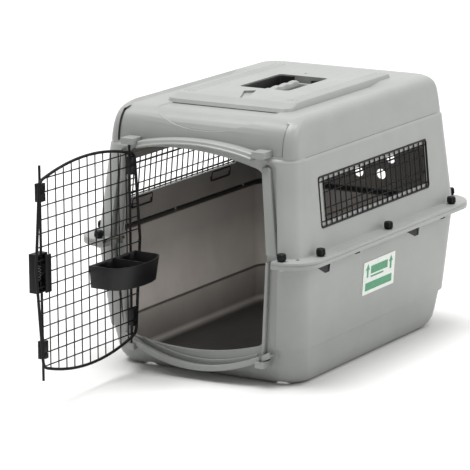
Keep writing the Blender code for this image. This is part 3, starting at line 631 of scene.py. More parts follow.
def rounded(points: Sequence[Flat], radius: float, steps: int = 6) -> list[Flat]:
    """Rounds the corners of a closed outline that turn by more than 25 degrees."""
    made: list[Flat] = []
    count = len(points)
    for i in range(count):
        here = Vector(points[i])
        before = Vector(points[i - 1]) - here
        after = Vector(points[(i + 1) % count]) - here
        turn = math.pi - before.angle(after)
        if turn < math.radians(25):
            made.append((here.x, here.y))
            continue
        reach = min(radius * math.tan(turn / 2), before.length * 0.95, after.length * 0.95)
        start = here + before.normalized() * reach
        end = here + after.normalized() * reach
        for k in range(steps + 1):
            t = k / steps
            spot = start * (1 - t) ** 2 + here * 2 * t * (1 - t) + end * t * t
            made.append((spot.x, spot.y))
    return made


@dataclass
class Skin:
    """A shell's outer surface as rings: height, half width, front reach, rear reach and corner radius."""

    rings: Sequence[Row]
    wall: float = 0.004
    steps: int = 10

    def ring(self, row: Row, inset: float = 0.0) -> list[Point]:
        """The points of one ring, inset by a wall thickness."""
        z, half, front, rear, radius = row
        outline = rounded_rectangle((-half + inset, half - inset), (-front + inset, rear - inset), radius, self.steps)
        return [(x, y, z) for x, y in outline]

    def hollow(self, name: str, inner: Sequence[Row], shift: float) -> Piece:
        """The shell itself, open at its first ring, with an inner skin from its own rings."""
        outer = [self.ring(row) for row in self.rings]
        inside = [self.ring(row, self.wall) for row in inner]
        inside[0] = [(x, y, self.rings[0][0]) for x, y, _ in inside[0]]
        inside[-1] = [(x, y, z + shift) for x, y, z in inside[-1]]
        rings = outer + inside[::-1]
        count, split, last = len(outer[0]), len(outer), len(rings) - 1
        faces = walls(count, [(k, k + 1) for k in range(last) if k != split - 1] + [(last, 0)])
        faces += [[level * count + i for i in range(count)] for level in (split - 1, split)]
        return solid(name, [p for ring in rings for p in ring], faces, SHELL)


def even(*rows: tuple[float, float, float, float]) -> list[Row]:
    """Skin rings that reach as far to the front as to the rear, from height, half width, reach and corner."""
    return [(z, half, reach, reach, corner) for z, half, reach, corner in rows]


def line(shell: Piece) -> Piece:
    """Gives a shell's inner faces the inside finish, with its painted light and shade: those in the flange channel
    and on the walls.
    """
    shell.data.materials.append(INSIDE_PAINTED_LIGHT.material())
    slot = len(shell.data.materials) - 1
    middle = Vector((0.0, 0.0, 0.25))
    for face in shell.data.polygons:
        x, y, z = face.center
        channel = 0.2462 < z < 0.2574 and abs(x) < 0.2560 and abs(y) < 0.3500
        room = abs(x) < 0.2330 and -0.2930 < y < 0.3320 and 0.001 < z < 0.5140
        handle_pocket = abs(x) <= 0.0600 and z >= 0.4500
        if (channel or room) and not handle_pocket and face.normal.dot(middle - face.center) > 0.0:
            face.material_index = slot
    return shell


def spread(outline: Sequence[Flat], ratio: float = 1.06) -> list[Flat]:
    """An outline made wider by a ratio."""
    return [(x * ratio, z) for x, z in outline]


@dataclass
class Pattern:
    """Places that both shells share: flange levels, fasteners and rod lugs."""

    split: float = 0.2522
    flange_half: float = 0.2605
    flange_reach: float = 0.3555
    flange_top: float = 0.2586
    flange_bottom: float = 0.2440
    rod_x: float = 0.1451
    rod_y: float = -0.3223
    rod_radius: float = 0.0025
    bolt_radius: float = 0.0030
    gap: float = 0.0003
    side_rows: tuple[float, ...] = (-0.268, 0.0, 0.268)
    side_x: float = 0.2455
    end_place: Flat = (0.2040, 0.3435)

    def row(self, z: float, inset: float = 0.0, corner: float = 0.062) -> Row:
        """A skin ring of the flange at a height, drawn in by an inset."""
        reach = self.flange_reach - inset
        return (z, self.flange_half - inset, reach, reach, corner)

    def fasteners(self) -> list[Flat]:
        """Where each knob nut and its bolt stand, in (x, y)."""
        places = [(side * self.side_x, y) for side in (1, -1) for y in self.side_rows]
        return places + [(side * self.end_place[0], end * self.end_place[1]) for end in (-1, 1) for side in (1, -1)]

    def holes(self, span: Span) -> Piece:
        """Cutters for the flange bolts and the spare tie holes beside the front ones."""
        pieces = [prism("hole", circle(p, self.bolt_radius + self.gap, 16), "Z", span) for p in self.fasteners()]
        pieces += [prism("spare", circle((side * 0.2246, -0.319), 0.0034, 16), "Z", span) for side in SIDES]
        return joined("holes", pieces)

    def lugs(self, heights: Span, back: float, half: float = 0.014) -> Piece:
        """A pair of bored lugs for the hinge and latch rods."""
        spans = [(side * self.rod_x - half, side * self.rod_x + half) for side in SIDES]
        return joined("lugs", [
            prism("lug", rounded_rectangle(span, (-0.3310, back), 0.0018, 3), "Z", heights) for span in spans
        ])

    def rod_holes(self, span: Span) -> Piece:
        """Cutters for the ends of the rods."""
        return joined("holes", [
            prism("hole", circle((side * self.rod_x, self.rod_y), self.rod_radius + 0.0006, 16), "Z", span)
            for side in SIDES
        ])


@dataclass
class ShellHalf:
    """What both mouldings share: the fastener pattern, the doorway and the thick front round it."""

    pattern: Pattern
    doorway: Doorway
    recess_y: float = -0.3050

    def surround(self, skin: Skin, clamp: Callable[[float], float]) -> Piece:
        """The thick front round this half of the doorway, before its recess is cut."""
        outline = [(x, clamp(z)) for x, z in spread(self.doorway.outline(0.012))]
        thick = prism("thick", outline, "Y", (-0.3700, -0.2970))
        combine(thick, loft("body", [skin.ring(row, 0.0005) for row in skin.rings]), "INTERSECT")
        return add(thick, prism("band", outline, "Y", (self.recess_y, -0.2970)))

    def recess(self, clamp: Callable[[float], float]) -> Piece:
        """Cutter for the flat that the shut door lies in."""
        outline = [(x, clamp(z)) for x, z in spread(self.doorway.outline(0.008, corner=0.016))]
        return prism("recess", outline, "Y", (AHEAD, self.recess_y))

    def way(self) -> Piece:
        """Cutter for the clear opening."""
        return prism("way", self.doorway.way(), "Y", (AHEAD, -0.28))


@dataclass
class UpperShell(ShellHalf):
    """The roof half: drafted walls, hood with its scooped brow, raised panel, pocket, windows and vents."""

    top: float = 0.5175
    total: float = 0.5260
    shoulder: float = 0.4421
    panel_half: float = 0.1330
    panel_y: Span = (-0.1700, 0.2160)
    panel_rows: tuple[Point, ...] = (  # share of its rise, and how much wider and longer to the front it is there
        (-0.90, 0.0058, 0.036), (0.0, 0.0044, 0.031), (0.25, 0.0036, 0.022), (0.60, 0.0025, 0.012),
        (0.85, 0.0015, 0.0055), (0.96, 0.0007, 0.002), (1.0, 0.0, 0.0),
    )
    pocket_half: float = 0.056
    pocket_y: Span = (-0.0610, 0.0990)
    pocket_floor: float = 0.4880
    vents: tuple[tuple[float, tuple[float, ...]], ...] = (
        (0.2908, (-0.052, 0.001, 0.054)), (0.3268, (-0.077, 0.078)), (0.3628, (-0.052, 0.001, 0.054)),
    )
    vent_radius: float = 0.0110
    band_x: Span = (-0.1290, 0.1260)
    band_arches: tuple[Flat, Flat] = ((0.4535, 0.95), (0.4655, 0.84))  # height at the middle and fall by x squared
    groove_depth: float = 0.0022
    crease_depth: float = 0.0026
    ribs_a_side: int = 3
    rib_pitch: float = 0.0092
    rib_height: float = 0.0009
    cheek_x: float = 0.1830
    hood: tuple[Flat, ...] = (
        (0.4400, 0.3006), (0.4595, 0.2984), (0.4728, 0.2954), (0.4842, 0.2914), (0.4928, 0.2864), (0.5002, 0.2798),
        (0.5056, 0.2722), (0.5090, 0.2640), (0.5109, 0.2556), (0.5118, 0.2470),
    )
    crease_half: float = 0.1220
    crease_z: Span = (0.4790, 0.5120)

    def skin(self) -> Skin:
        """The outer surface, with rounded lips where the mould has them."""
        p = self.pattern
        top = p.flange_top
        low = [
            p.row(p.split, 0.0004), p.row(p.split + 0.0004), p.row(top - 0.0024),
            p.row(top - 0.0009, 0.0008, 0.0612), p.row(top, 0.0030, 0.0590),
            *even((top + 0.0001, 0.2342, 0.3341, 0.0440), (top + 0.0010, 0.2318, 0.3317, 0.0420),
                  (top + 0.0034, 0.2302, 0.3301, 0.0410)),
        ]
        brow = [
            (self.shoulder - 0.0052, 0.2147, 0.3086, 0.3126, 0.040),
            (self.shoulder - 0.0036, 0.2140, 0.3079, 0.3119, 0.040),
            (self.shoulder - 0.0012, 0.2118, 0.3060, 0.3097, 0.038),
            (self.shoulder + 0.0003, 0.2092, 0.3040, 0.3074, 0.030),
            (self.shoulder + 0.0022, 0.2080, 0.3034, 0.3060, 0.024),
            (0.4600, 0.2066, 0.3020, 0.3040, 0.023), (0.4740, 0.2052, 0.2992, 0.3024, 0.023),
            (0.4860, 0.2040, 0.2952, 0.3008, 0.024), (0.4950, 0.2028, 0.2902, 0.2990, 0.025),
            (0.5030, 0.2008, 0.2834, 0.2964, 0.027), (0.5090, 0.1978, 0.2756, 0.2930, 0.031),
            (0.5130, 0.1940, 0.2672, 0.2888, 0.032), (0.5158, 0.1888, 0.2580, 0.2836, 0.032),
            (0.5171, 0.1835, 0.2500, 0.2790, 0.032), (self.top, 0.1770, 0.2410, 0.2730, 0.032),
        ]
        return Skin(low + brow)

    def set_back(self, name: str, outline: Sequence[Flat], span: Span, depth: float = 0.0) -> Piece:
        """Cutter that takes part of the hood back to its slope between the cheeks.

        Args:
            name: The cutter's name.
            outline: The part's outline seen from the front, in (x, z).
            span: The part's reach in y.
            depth: How far below the slope the cut goes.

        Returns:
            The cutter, whose underside follows the slope.
        """
        rear_slope = [(0.1100, 0.5050), (0.1100, 0.5108), (0.1740, 0.5190), (0.4000, 0.5190), (0.4000, 0.5050)]
        across = (-0.2600, 0.2600)
        rings = [
            [(x, y, z - depth) for x, y in rounded_rectangle(across, (-front + depth, 0.3900), 0.02, 2)]
            for z, front in self.hood
        ]
        slope = prism("slope", rear_slope, "X", (-0.3000, 0.3000))
        return cut(prism(name, outline, "Y", span), slope, loft("core", rings))

    def crease(self) -> list[Flat]:
        """The hood's D-shaped panel seen from the front."""
        half, foot, head = self.crease_half, self.crease_z[0], self.crease_z[1]
        arc = [(half * i / 20, foot + (head - foot) * abs(i / 20) ** 2.3) for i in range(-20, 21)]
        return arc + [(half + 0.004, 0.53), (-half - 0.004, 0.53)]

    def panel(self) -> Piece:
        """The raised roof panel, steep at its sides and rear and eased down at its front."""
        rings = []
        rise = self.total - self.rib_height - self.top
        for part, side, front in self.panel_rows:
            half = self.panel_half + side
            span = (self.panel_y[0] - front, self.panel_y[1] + side)
            outline = rounded_rectangle((-half, half), span, 0.016 + side, 8)
            rings.append([(x, y, self.top + rise * part) for x, y in outline])
        return loft("panel", rings, SHELL)

    def windows(self, body: Piece) -> None:
        """Cuts both side windows, each with a ledge inside its edge for the grille to sit against."""
        for side in SIDES:
            window = SideWindow(side, "")
            add(body, window.plate("ledge", -0.0020, (-0.0072, -0.0030)))
            cut(body, window.plate("rebate", 0.0, (-0.0022, 0.0300)),
                window.plate("opening", window.ledge, (-0.0300, 0.0300), window.ledge_front))

    def vent_holes(self) -> Piece:
        """Cutters for the round vents in the rear wall."""
        centres = [(x, z) for z, row in self.vents for x in row]
        return joined("vents", [prism("vent", circle(c, self.vent_radius, 32), "Y", (0.28, 0.36)) for c in centres])

    def shell(self) -> Piece:
        """The moulding itself with everything cut and joined."""
        skin = self.skin()
        inner = even(
            (self.pattern.split, 0.2530, 0.3480, 0.055), (0.2556, 0.2530, 0.3480, 0.055),
            (0.2572, 0.2308, 0.3307, 0.041), (0.2640, 0.2304, 0.3303, 0.041),
        ) + [
            (self.shoulder, 0.2142, 0.3060, 0.3120, 0.041), (0.4440, 0.2080, 0.3030, 0.3060, 0.040),
            (0.4640, 0.2062, 0.2880, 0.3034, 0.042), (0.4860, 0.2040, 0.2560, 0.3008, 0.044),
            (0.5010, 0.1990, 0.2260, 0.2950, 0.046), (self.top, 0.1790, 0.2000, 0.2740, 0.046),
        ]
        body = skin.hollow("upper_moulding", inner, -0.0090)
        edge = [(self.cheek_x, 0.4457), (self.cheek_x, 0.5040), (0.1760, 0.5095), (0.1900, 0.5180), (0.1900, 0.53)]
        cut(body, self.set_back("brow", edge + [(-x, z) for x, z in edge[::-1]], (AHEAD, 0.1750)))
        for side in SIDES:
            near, far = side * (self.cheek_x - 0.0030), side * (self.cheek_x + 0.0002)
            groove = [(near, 0.4470), (far, 0.4470), (far, 0.5060), (near, 0.5060)]
            cut(body, self.set_back("groove", groove, (AHEAD, -0.2600), self.groove_depth))
        cut(body, self.set_back("crease", self.crease(), (AHEAD, -0.1850), self.crease_depth))
        half, (front, rear), wall, above = self.pocket_half, self.pocket_y, skin.wall, 0.60
        tub = ((-half - wall, half + wall), (front - wall, rear + wall), (self.pocket_floor - wall, 0.5200))
        add(body, self.panel(), box("tub", tub))
        pocket = rounded_rectangle((-half, half), self.pocket_y, 0.008, 4)
        notch = ((0.012, -0.172), (0.020, -0.150), (-0.002, -0.086), (-0.021, -0.100))
        cut(body, prism("pocket", pocket, "Z", (self.pocket_floor, above)))
        cut(body, prism("notch", notch, "Z", (0.5205, above)))
        cut(body, prism("drain", circle((-0.0133, 0.1278), 0.0028, 16), "Z", (0.50, above)))
        add(body, self.surround(skin, lambda z: max(z, self.pattern.split)))
        cut(body, self.recess(lambda z: z), self.way())
        add(body, self.pattern.lugs((0.4458, 0.4578), -0.2990))
        cut(body, self.pattern.rod_holes((0.4400, 0.4550)))
        self.windows(body)
        cut(body, self.vent_holes(), self.pattern.holes((0.24, 0.29)))
        return smooth(line(body), 30.0)

    def brow_band(self) -> Piece:
        """The stepped band that arches over the doorway between the lugs."""
        rings = []
        for i in range(41):
            x = self.band_x[0] + (self.band_x[1] - self.band_x[0]) * i / 40
            low, high = (top - fall * x * x for top, fall in self.band_arches)
            section = (
                (-0.2985, low), (-0.3215, low), (-0.3238, low + 0.0010), (-0.3245, low + 0.0026),
                (-0.3243, low + 0.0046), (-0.3222, low + 0.0056), (-0.3212, low + 0.0066),
                (-0.3208, high - 0.0028), (-0.3194, high - 0.0008), (-0.3172, high), (-0.2985, high + 0.0006),
            )
            rings.append([(x, y, z) for y, z in section])
        return round_edges(loft("brow_band", rings), 0.0012, 3, 40.0)

    def jambs(self, name: str, levels: Sequence[float], capped: bool, depth: float) -> Piece:
        """Rounded pilasters on both sides of the doorway that the shut door rests on."""
        pieces = []
        ends = {len(levels) - 1: 0.45, len(levels) - 2: 0.18} if capped else {}
        for side in SIDES:
            rings = []
            for i, z in enumerate(levels):
                inner, outer = self.jamb_edges(side, z, depth)
                pinch = ends.get(i, 0.0) * (outer - inner)
                front = self.doorway.ledge_y + ends.get(i, 0.0) * 0.012
                span = sorted((side * (inner + pinch), side * (outer - pinch)))
                rings.append([(x, y, z) for x, y in rounded_rectangle(span, (front, -0.2975), 0.0038, 4)])
            pieces.append(loft("jamb", rings))
        return smooth(joined(name, pieces), 40.0)

    def jamb_edges(self, side: int, z: float, depth: float) -> Span:
        """Distance of a jamb's inner and outer edges from the middle at a height."""
        row = self.doorway.way_right if side > 0 else self.doorway.way_left[::-1]
        (x0, z0), (x1, z1), (x2, z2) = row
        part = (z - z0) / (z1 - z0) if z < z1 else (z - z1) / (z2 - z1)
        inner = abs(x0 + (x1 - x0) * part) if z < z1 else abs(x1 + (x2 - x1) * part)
        if side < 0:
            return (inner, inner + 0.0095)
        return (inner, min(inner + depth, self.doorway.half_width_at(z) + 0.0070))

    def ribs(self, copies: CopyTool) -> Piece:
        """Fine lengthwise ribs along both edges of the roof panel."""
        length = self.panel_y[1] - self.panel_y[0] - 0.030
        middle = (self.panel_y[0] + self.panel_y[1]) / 2 + 0.004
        tip = self.rib_height
        flank = ((0.0012, tip), (0.0028, 0.0), (0.0030, -0.0012))
        section = [(-x, z) for x, z in flank[::-1]] + list(flank)
        tapers = ((-0.5, 0.4), (-0.49, 0.8), (-0.47, 1.0), (0.47, 1.0), (0.49, 0.8), (0.5, 0.4))
        rib = loft("rib", [[(x * width, part * length, z) for x, z in section] for part, width in tapers])
        places = [
            (side * (self.panel_half - 0.0080 - row * self.rib_pitch), middle, self.total - tip)
            for side in SIDES for row in range(self.ribs_a_side)
        ]
        return copies.copies("roof_ribs", rib, places, SHELL)

    def build(self, copies: CopyTool) -> None:
        """Builds the roof half and dresses it."""
        place_on(self.shell(), "kennel", "upper_shell")
        levels = [0.2590 + (0.4230 - 0.2590) * i / 12 for i in range(13)] + [0.4270, 0.4292]
        place_on(self.brow_band(), "kennel", slot="upper_shell_plastic")
        place_on(self.jambs("upper_jambs", levels, True, 0.0260), "kennel", slot="upper_shell_plastic")
        place_on(self.ribs(copies), "kennel", slot="upper_shell_plastic")


@dataclass
class LowerShell(ShellHalf):
    """The floor half: drafted walls with a crease, bowed sill, wedge pockets under the lip and foot notches."""

    recess_y: float = -0.3040
    crease: float = 0.0762
    recess_foot: float = 0.0560
    foot_notches: Span = (-0.1300, 0.1610)
    sill_half: float = 0.166
    sill_lift: float = 0.042
    sill_bars: tuple[tuple[str, float, Span, Span, Span], ...] = (
        ("tray", 0.166, (-0.3330, -0.2900), (0.014, 0.0), (0.0215, 0.0262)),
        ("lip", 0.163, (-0.3345, -0.3300), (0.014, 0.014), (0.0195, 0.0318)),
    )
    pockets: tuple[Span, ...] = ((-0.2565, -0.2064), (-0.1240, -0.0880), (0.1010, 0.1570), (0.2350, 0.2700))

    def skin(self) -> Skin:
        """The outer surface, rim first."""
        p = self.pattern
        rim, low = p.split - p.gap, p.flange_bottom
        return Skin([
            p.row(rim, 0.0004), p.row(rim - 0.0004), p.row(low + 0.0006), p.row(low, 0.0006, 0.0614),
            *even(
                (low - 0.0001, 0.2352, 0.3307, 0.0430), (low - 0.0030, 0.2324, 0.3279, 0.0410),
                (self.crease + 0.0012, 0.2206, 0.3091, 0.041), (self.crease, 0.2200, 0.3085, 0.041),
                (self.crease - 0.0006, 0.2166, 0.3046, 0.041), (self.crease - 0.0022, 0.2160, 0.3040, 0.041),
                (0.0350, 0.2112, 0.2965, 0.043), (0.0200, 0.2085, 0.2925, 0.045), (0.0100, 0.2045, 0.2865, 0.047),
                (0.0035, 0.1995, 0.2795, 0.049), (0.0000, 0.1925, 0.2710, 0.049),
            ),
        ])

    def sill_bar(self, name: str, half: float, depth: Span, bow: Span, height: Span, lift: float) -> Piece:
        """A bowed bar under the doorway.

        Args:
            name: The object's name.
            half: Half its length.
            depth: Front and rear at its middle.
            bow: How far the front and the rear fall back towards the ends.
            height: Bottom and top at its middle.
            lift: How far the ends stand higher than the middle.

        Returns:
            The bar as a solid.
        """
        rings = []
        for i in range(29):
            part = 2 * i / 28 - 1
            span = [place + back * part * part for place, back in zip(depth, bow)]
            low, high = (level + lift * part * part for level in height)
            section = rounded_rectangle(span, (low, high), min(0.0016, (high - low) * 0.45), 3)
            rings.append([(half * part, y, z) for y, z in section])
        return loft(name, rings)

    def pocket_cutters(self) -> Piece:
        """Cutters for the wedge-shaped pockets under the side lips. They carry the black finish, which the pocket
        walls take over as painted shade.
        """
        pieces = []
        for side, (low, high) in ((side, span) for side in SIDES for span in self.pockets):
            drop = 0.025 if high - low > 0.040 else 0.012
            outline = ((low, 0.2438), (high, 0.2438), (high - 0.0020, 0.2400 - drop),
                       (high - 0.0180, 0.2400 - drop), (low, 0.2400 - drop * 0.35))
            # The black finish here is painted shade: the pocket walls that the cutter leaves take it over.
            pieces.append(prism("pocket", outline, "X", sorted((side * 0.2294, side * 0.2450)), BLACK))
        return joined("pockets", pieces)

    def shell(self) -> Piece:
        """The moulding itself with everything cut and joined."""
        skin = self.skin()
        rim = self.pattern.split - self.pattern.gap
        inner = even(
            (rim, 0.2530, 0.3480, 0.055), (0.2478, 0.2530, 0.3480, 0.055), (0.2462, 0.2324, 0.3279, 0.041),
            (0.2380, 0.2318, 0.3274, 0.041), (self.crease, 0.2203, 0.3087, 0.041),
            (self.crease - 0.0008, 0.2160, 0.3040, 0.041), (0.0350, 0.2112, 0.2965, 0.043),
            (0.0100, 0.2045, 0.2865, 0.047), (0.0000, 0.1925, 0.2710, 0.049),
        )
        body = skin.hollow("lower_moulding", inner, skin.wall)
        add(body, self.surround(skin, lambda z: min(z, rim)), self.pattern.lugs((0.0410, 0.0525), -0.2930, 0.009))
        cut(body, self.recess(lambda z: max(z, self.recess_foot)), self.way())
        for name, half, depth, bow, height in self.sill_bars:
            lift = self.sill_lift * (half / self.sill_half) ** 2
            add(body, self.sill_bar(name, half, depth, bow, height, lift))
        cut(body, self.pattern.rod_holes((0.0300, 0.0700)), self.pattern.holes((0.23, 0.27)))
        for x in self.foot_notches:
            notch = [(x - 0.018, -0.002), (x + 0.018, -0.002), (x + 0.011, 0.007), (x - 0.011, 0.007)]
            cut(body, prism("notch", notch, "Y", (-0.32, -0.26)))
        # The pocket walls take the cutters' black finish, as painted shade inside the pockets.
        cut(body, self.pocket_cutters())
        return smooth(line(body), 30.0)

    def jambs(self, upper: UpperShell) -> Piece:
        """The narrow lower stretch of the doorway's jambs."""
        levels = [0.0660 + (0.2440 - 0.0660) * i / 10 for i in range(11)]
        return upper.jambs("lower_jambs", levels, False, 0.0075)

    def build(self, upper: UpperShell) -> None:
        """Builds the floor half and dresses it."""
        place_on(self.shell(), "kennel", "lower_shell")
        place_on(self.jambs(upper), "kennel", slot="lower_shell_plastic")
        rib = self.sill_bar("sill_rib", 0.128, (-0.3085, -0.3045), (0.003, 0.003), (0.0255, 0.0375), 0.0250)
        place_on(smooth(rib, 40.0), "kennel", slot="lower_shell_plastic")


# ---- Door, latch and bowl ----


@dataclass
class Door:
    """The welded wire door on its hinge rod, with its latch rods and their clips."""

    doorway: Doorway
    pattern: Pattern
    frame_radius: float = 0.0029
    mesh_radius: float = 0.00125
    mesh_offset: float = 0.0014
    pitch: float = 0.0254
    uprights: int = 11
    levels: int = 15
    lowest: float = 0.0740
    rod_top: float = 0.4538
    rod_bottom: float = 0.0440
    tab_upper_z: float = 0.2660
    tab_lower_z: float = 0.2220
    tab_height: float = 0.014
    rod_in_tab: float = 0.0043
    coil_y: float = -0.32875
    coil_radius: float = 0.0045
    coil_gap: float = 0.0009
    coil_turns: int = 5
    moulded: tuple[tuple[str, str, float], ...] = (
        ("hinge_clip_upper", "door", 0.0007), ("hinge_clip_lower", "door", 0.0007),
        ("latch_clip_upper", "door", 0.0007), ("latch_clip_lower", "door", 0.0007),
        ("latch_housing", "door", 0.0014), ("latch_back_plate", "door", 0.0007),
        ("latch_tab_upper", "latch_upper", 0.0012), ("latch_tab_lower", "latch_lower", 0.0012),
    )

    def hang(self) -> Matrix:
        """The turn that takes the shut door to where it hangs at rest."""
        joints = FRAME["record"]["behaviour"]["joints"]
        hinge = next(j for j in joints if j["name"] == "door_swing")
        x, y, _ = hinge["pos_m"]
        axis = Vector((x, y, 0.0))
        angle = math.radians(hinge["range_deg"][1]) if "range_deg" in hinge else hinge["range"][1]
        return Matrix.Translation(axis) @ Matrix.Rotation(-angle, 4, "Z") @ Matrix.Translation(-axis)

    def frame_path(self) -> list[Point]:
        """The frame wire's centre line, round at its corners."""
        return [(x, self.doorway.door_y, z) for x, z in self.doorway.outline(0.0, 24, 0.020)]

    def build(self, wire: WireTool) -> None:
        """Builds the wire panel and rods and lets each ride on its own body."""
        turn = self.hang()
        way = self.doorway
        frame = wire.wires("door_frame", [self.frame_path()], self.frame_radius, WIRE, True, 14)
        rows = []
        for i in range(self.uprights):
            x = (i - (self.uprights - 1) / 2) * self.pitch
            y = way.door_y - self.mesh_offset
            rows.append([(x, y, way.bottom_at(x)), (x, y, way.top_at(x))])
        for i in range(self.levels):
            z = self.lowest + i * self.pitch
            half = way.half_width_at(z) - (0.006 if z > way.corner_top - 0.004 else 0.0)
            y = way.door_y + self.mesh_offset
            rows.append([(-half, y, z), (half, y, z)])
        mesh = wire.wires("door_mesh", rows, self.mesh_radius, WIRE)
        panel = smooth(joined("door_wires", [frame, mesh]), 50.0)
        self.hang_up(panel, turn, "door", "door_panel")
        p = self.pattern
        rods = (
            ("hinge_bar", -p.rod_x, self.rod_bottom, self.rod_top, "door", "hinge_rod"),
            ("latch_bar_up", p.rod_x, self.tab_upper_z + self.rod_in_tab, self.rod_top,
             "latch_upper", "latch_rod_upper"),
            ("latch_bar_low", p.rod_x, self.rod_bottom, self.tab_lower_z + self.tab_height - self.rod_in_tab,
             "latch_lower", "latch_rod_lower"),
        )
        for name, x, low, high, body, node in rods:
            rod = wire.wires(name, [[(x, p.rod_y, low), (x, p.rod_y, high)]], p.rod_radius, WIRE, sides=14)
            self.hang_up(rod, turn, body, node)
        for node, body, width in self.moulded:
            softened(node, body, BLACK, width)

    def hang_up(self, piece: Piece, turn: Matrix, body: str, *nodes: str) -> None:
        """Turns a piece's mesh to the open door and puts it on its body."""
        piece.data.transform(turn)
        place_on(piece, body, *nodes)

    def spring(self, wire: WireTool) -> None:
        """The coil spring between the two finger tabs."""
        low = self.tab_lower_z + self.tab_height + self.coil_gap
        high = self.tab_upper_z - self.coil_gap
        a_turn = 20
        steps = self.coil_turns * a_turn
        path = []
        for i in range(steps + 1):
            angle = 2 * math.pi * i / a_turn
            x, y = self.coil_radius * math.cos(angle), self.coil_radius * math.sin(angle)
            path.append((self.pattern.rod_x + x, self.coil_y + y, low + (high - low) * i / steps))
        coil = wire.wires("latch_coil", [path], 0.0006, ZINC, sides=8)
        self.hang_up(coil, self.hang(), "door", "latch_spring")
        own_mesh(coil)


# ---- Windows ----


@dataclass
class SideWindow:
    """One side's wire grille with its frame, rails and clips, tilted with the wall."""

    side: int
    label: str
    window_y: Span = (-0.2320, 0.2085)
    window_z: Span = (0.3010, 0.4012)
    wires: int = 21
    wire_radius: float = 0.00135
    border_radius: float = 0.0019
    wall_foot: float = 0.2306
    wall_head: float = 0.2142
    foot_z: float = 0.2586
    head_z: float = 0.4421
    rails: tuple[float, ...] = (0.34, 0.66)
    rail_radius: float = 0.0012
    grille_x: float = -0.0004
    rail_x: float = -0.0046
    clip_x: float = -0.0064
    clip_y: float = 0.150
    clip_half: float = 0.036
    clip_radius: float = 0.0018
    ledge: float = 0.0100
    ledge_front: float = 0.0200

    def plate(self, name: str, inset: float, depth: Span, front: float | None = None) -> Piece:
        """A plate parallel to the wall over the window, as a cutter or a ledge.

        Args:
            name: The plate's name.
            inset: How far its edges are inside the window's.
            depth: Its inner and outer faces, measured outwards from the wall's face.
            front: Inset of its front edge, where that differs.

        Returns:
            The plate in the kennel's frame.
        """
        half_y = (self.window_y[1] - self.window_y[0]) / 2 - inset
        half_z = (self.window_z[1] - self.window_z[0]) / 2 - inset
        nose = -half_y if front is None else -half_y - inset + front
        made = prism(name, rounded_rectangle((nose, half_y), (-half_z, half_z), 0.006, 4), "X", depth)
        return self.lean(made)

    def lean(self, piece: Piece) -> Piece:
        """Turns a piece made in the window's axes onto the wall, mirrored for the left side."""
        piece.data.transform(self.placing())
        if self.side < 0:
            piece.data.flip_normals()
        return piece

    def placing(self) -> Matrix:
        """From the window's own axes, with x outwards through the wall, to the kennel's."""
        lean = math.atan((self.wall_foot - self.wall_head) / (self.head_z - self.foot_z))
        middle = sum(self.window_z) / 2
        wall_x = self.wall_foot - (middle - self.foot_z) * math.tan(lean)
        place = Matrix.Translation((wall_x, sum(self.window_y) / 2, middle)) @ Matrix.Rotation(-lean, 4, "Y")
        return place if self.side > 0 else Matrix.Scale(-1, 4, (1, 0, 0)) @ place

    def loop(self, wire: WireTool, name: str, depth: float, spans: Sequence[Span], corner: float,
             radius: float, steps: int = 5) -> Piece:
        """A closed wire round a rectangle parallel to the wall."""
        path = [(depth, y, z) for y, z in rounded_rectangle(spans[0], spans[1], corner, steps)]
        return wire.wires(name, [path], radius, WIRE, True, 12)

    def build(self, wire: WireTool) -> None:
        """Builds the grille, its rails, its retaining frame and its clips, each behind the last."""
        label = self.label
        edge = self.border_radius + 0.0003
        half_y = (self.window_y[1] - self.window_y[0]) / 2 - edge
        half_z = (self.window_z[1] - self.window_z[0]) / 2 - edge
        depth = self.grille_x
        outer = self.loop(wire, "border", depth, ((-half_y, half_y), (-half_z, half_z)), 0.0065, self.border_radius)
        front, rear = -half_y + self.ledge_front, half_y - self.ledge
        places = [front + (rear - front) * i / (self.wires - 1) for i in range(self.wires)]
        rows = [[(depth, y, z) for z in (-half_z, half_z)] for y in places]
        levels = (-half_z + self.ledge, half_z - self.ledge)
        rows += [[(depth - 0.0020, y, z) for y in (-half_y, half_y)] for z in levels]
        grid = wire.wires("grid", rows, self.wire_radius, WIRE)
        grille = smooth(joined("grille_" + label, [outer, grid]), 50.0)
        place_on(self.lean(grille), "kennel", "window_grille_" + label)
        reach = half_y - self.ledge + 0.0040
        ends = (self.ledge_front - self.ledge - reach, reach)
        spans = [[(self.rail_x, y, half_z * (2 * part - 1)) for y in ends] for part in self.rails]
        rails = self.lean(wire.wires("rails_" + label, spans, self.rail_radius, WIRE))
        place_on(rails, "kennel", f"window_rail_{label}_lower", f"window_rail_{label}_upper")
        inner_y, inner_z = half_y - 0.014, half_z - 0.018
        spans = ((-inner_y, inner_y), (-inner_z, inner_z))
        retainer = self.loop(wire, "retainer_" + label, self.rail_x - 0.0033, spans, 0.010, self.clip_radius)
        place_on(self.lean(retainer), "kennel", "window_frame_" + label)
        for y, word in ((-self.clip_y, "front"), (self.clip_y, "rear")):
            spans = ((y - self.clip_half, y + self.clip_half), (-half_z - 0.0145, -half_z + 0.004))
            clip = self.loop(wire, f"clip_{label}_{word}", self.clip_x, spans, 0.003, self.clip_radius, 4)
            place_on(self.lean(clip), "kennel", f"window_clip_{label}_{word}")


# ---- Fasteners, handle and label ----


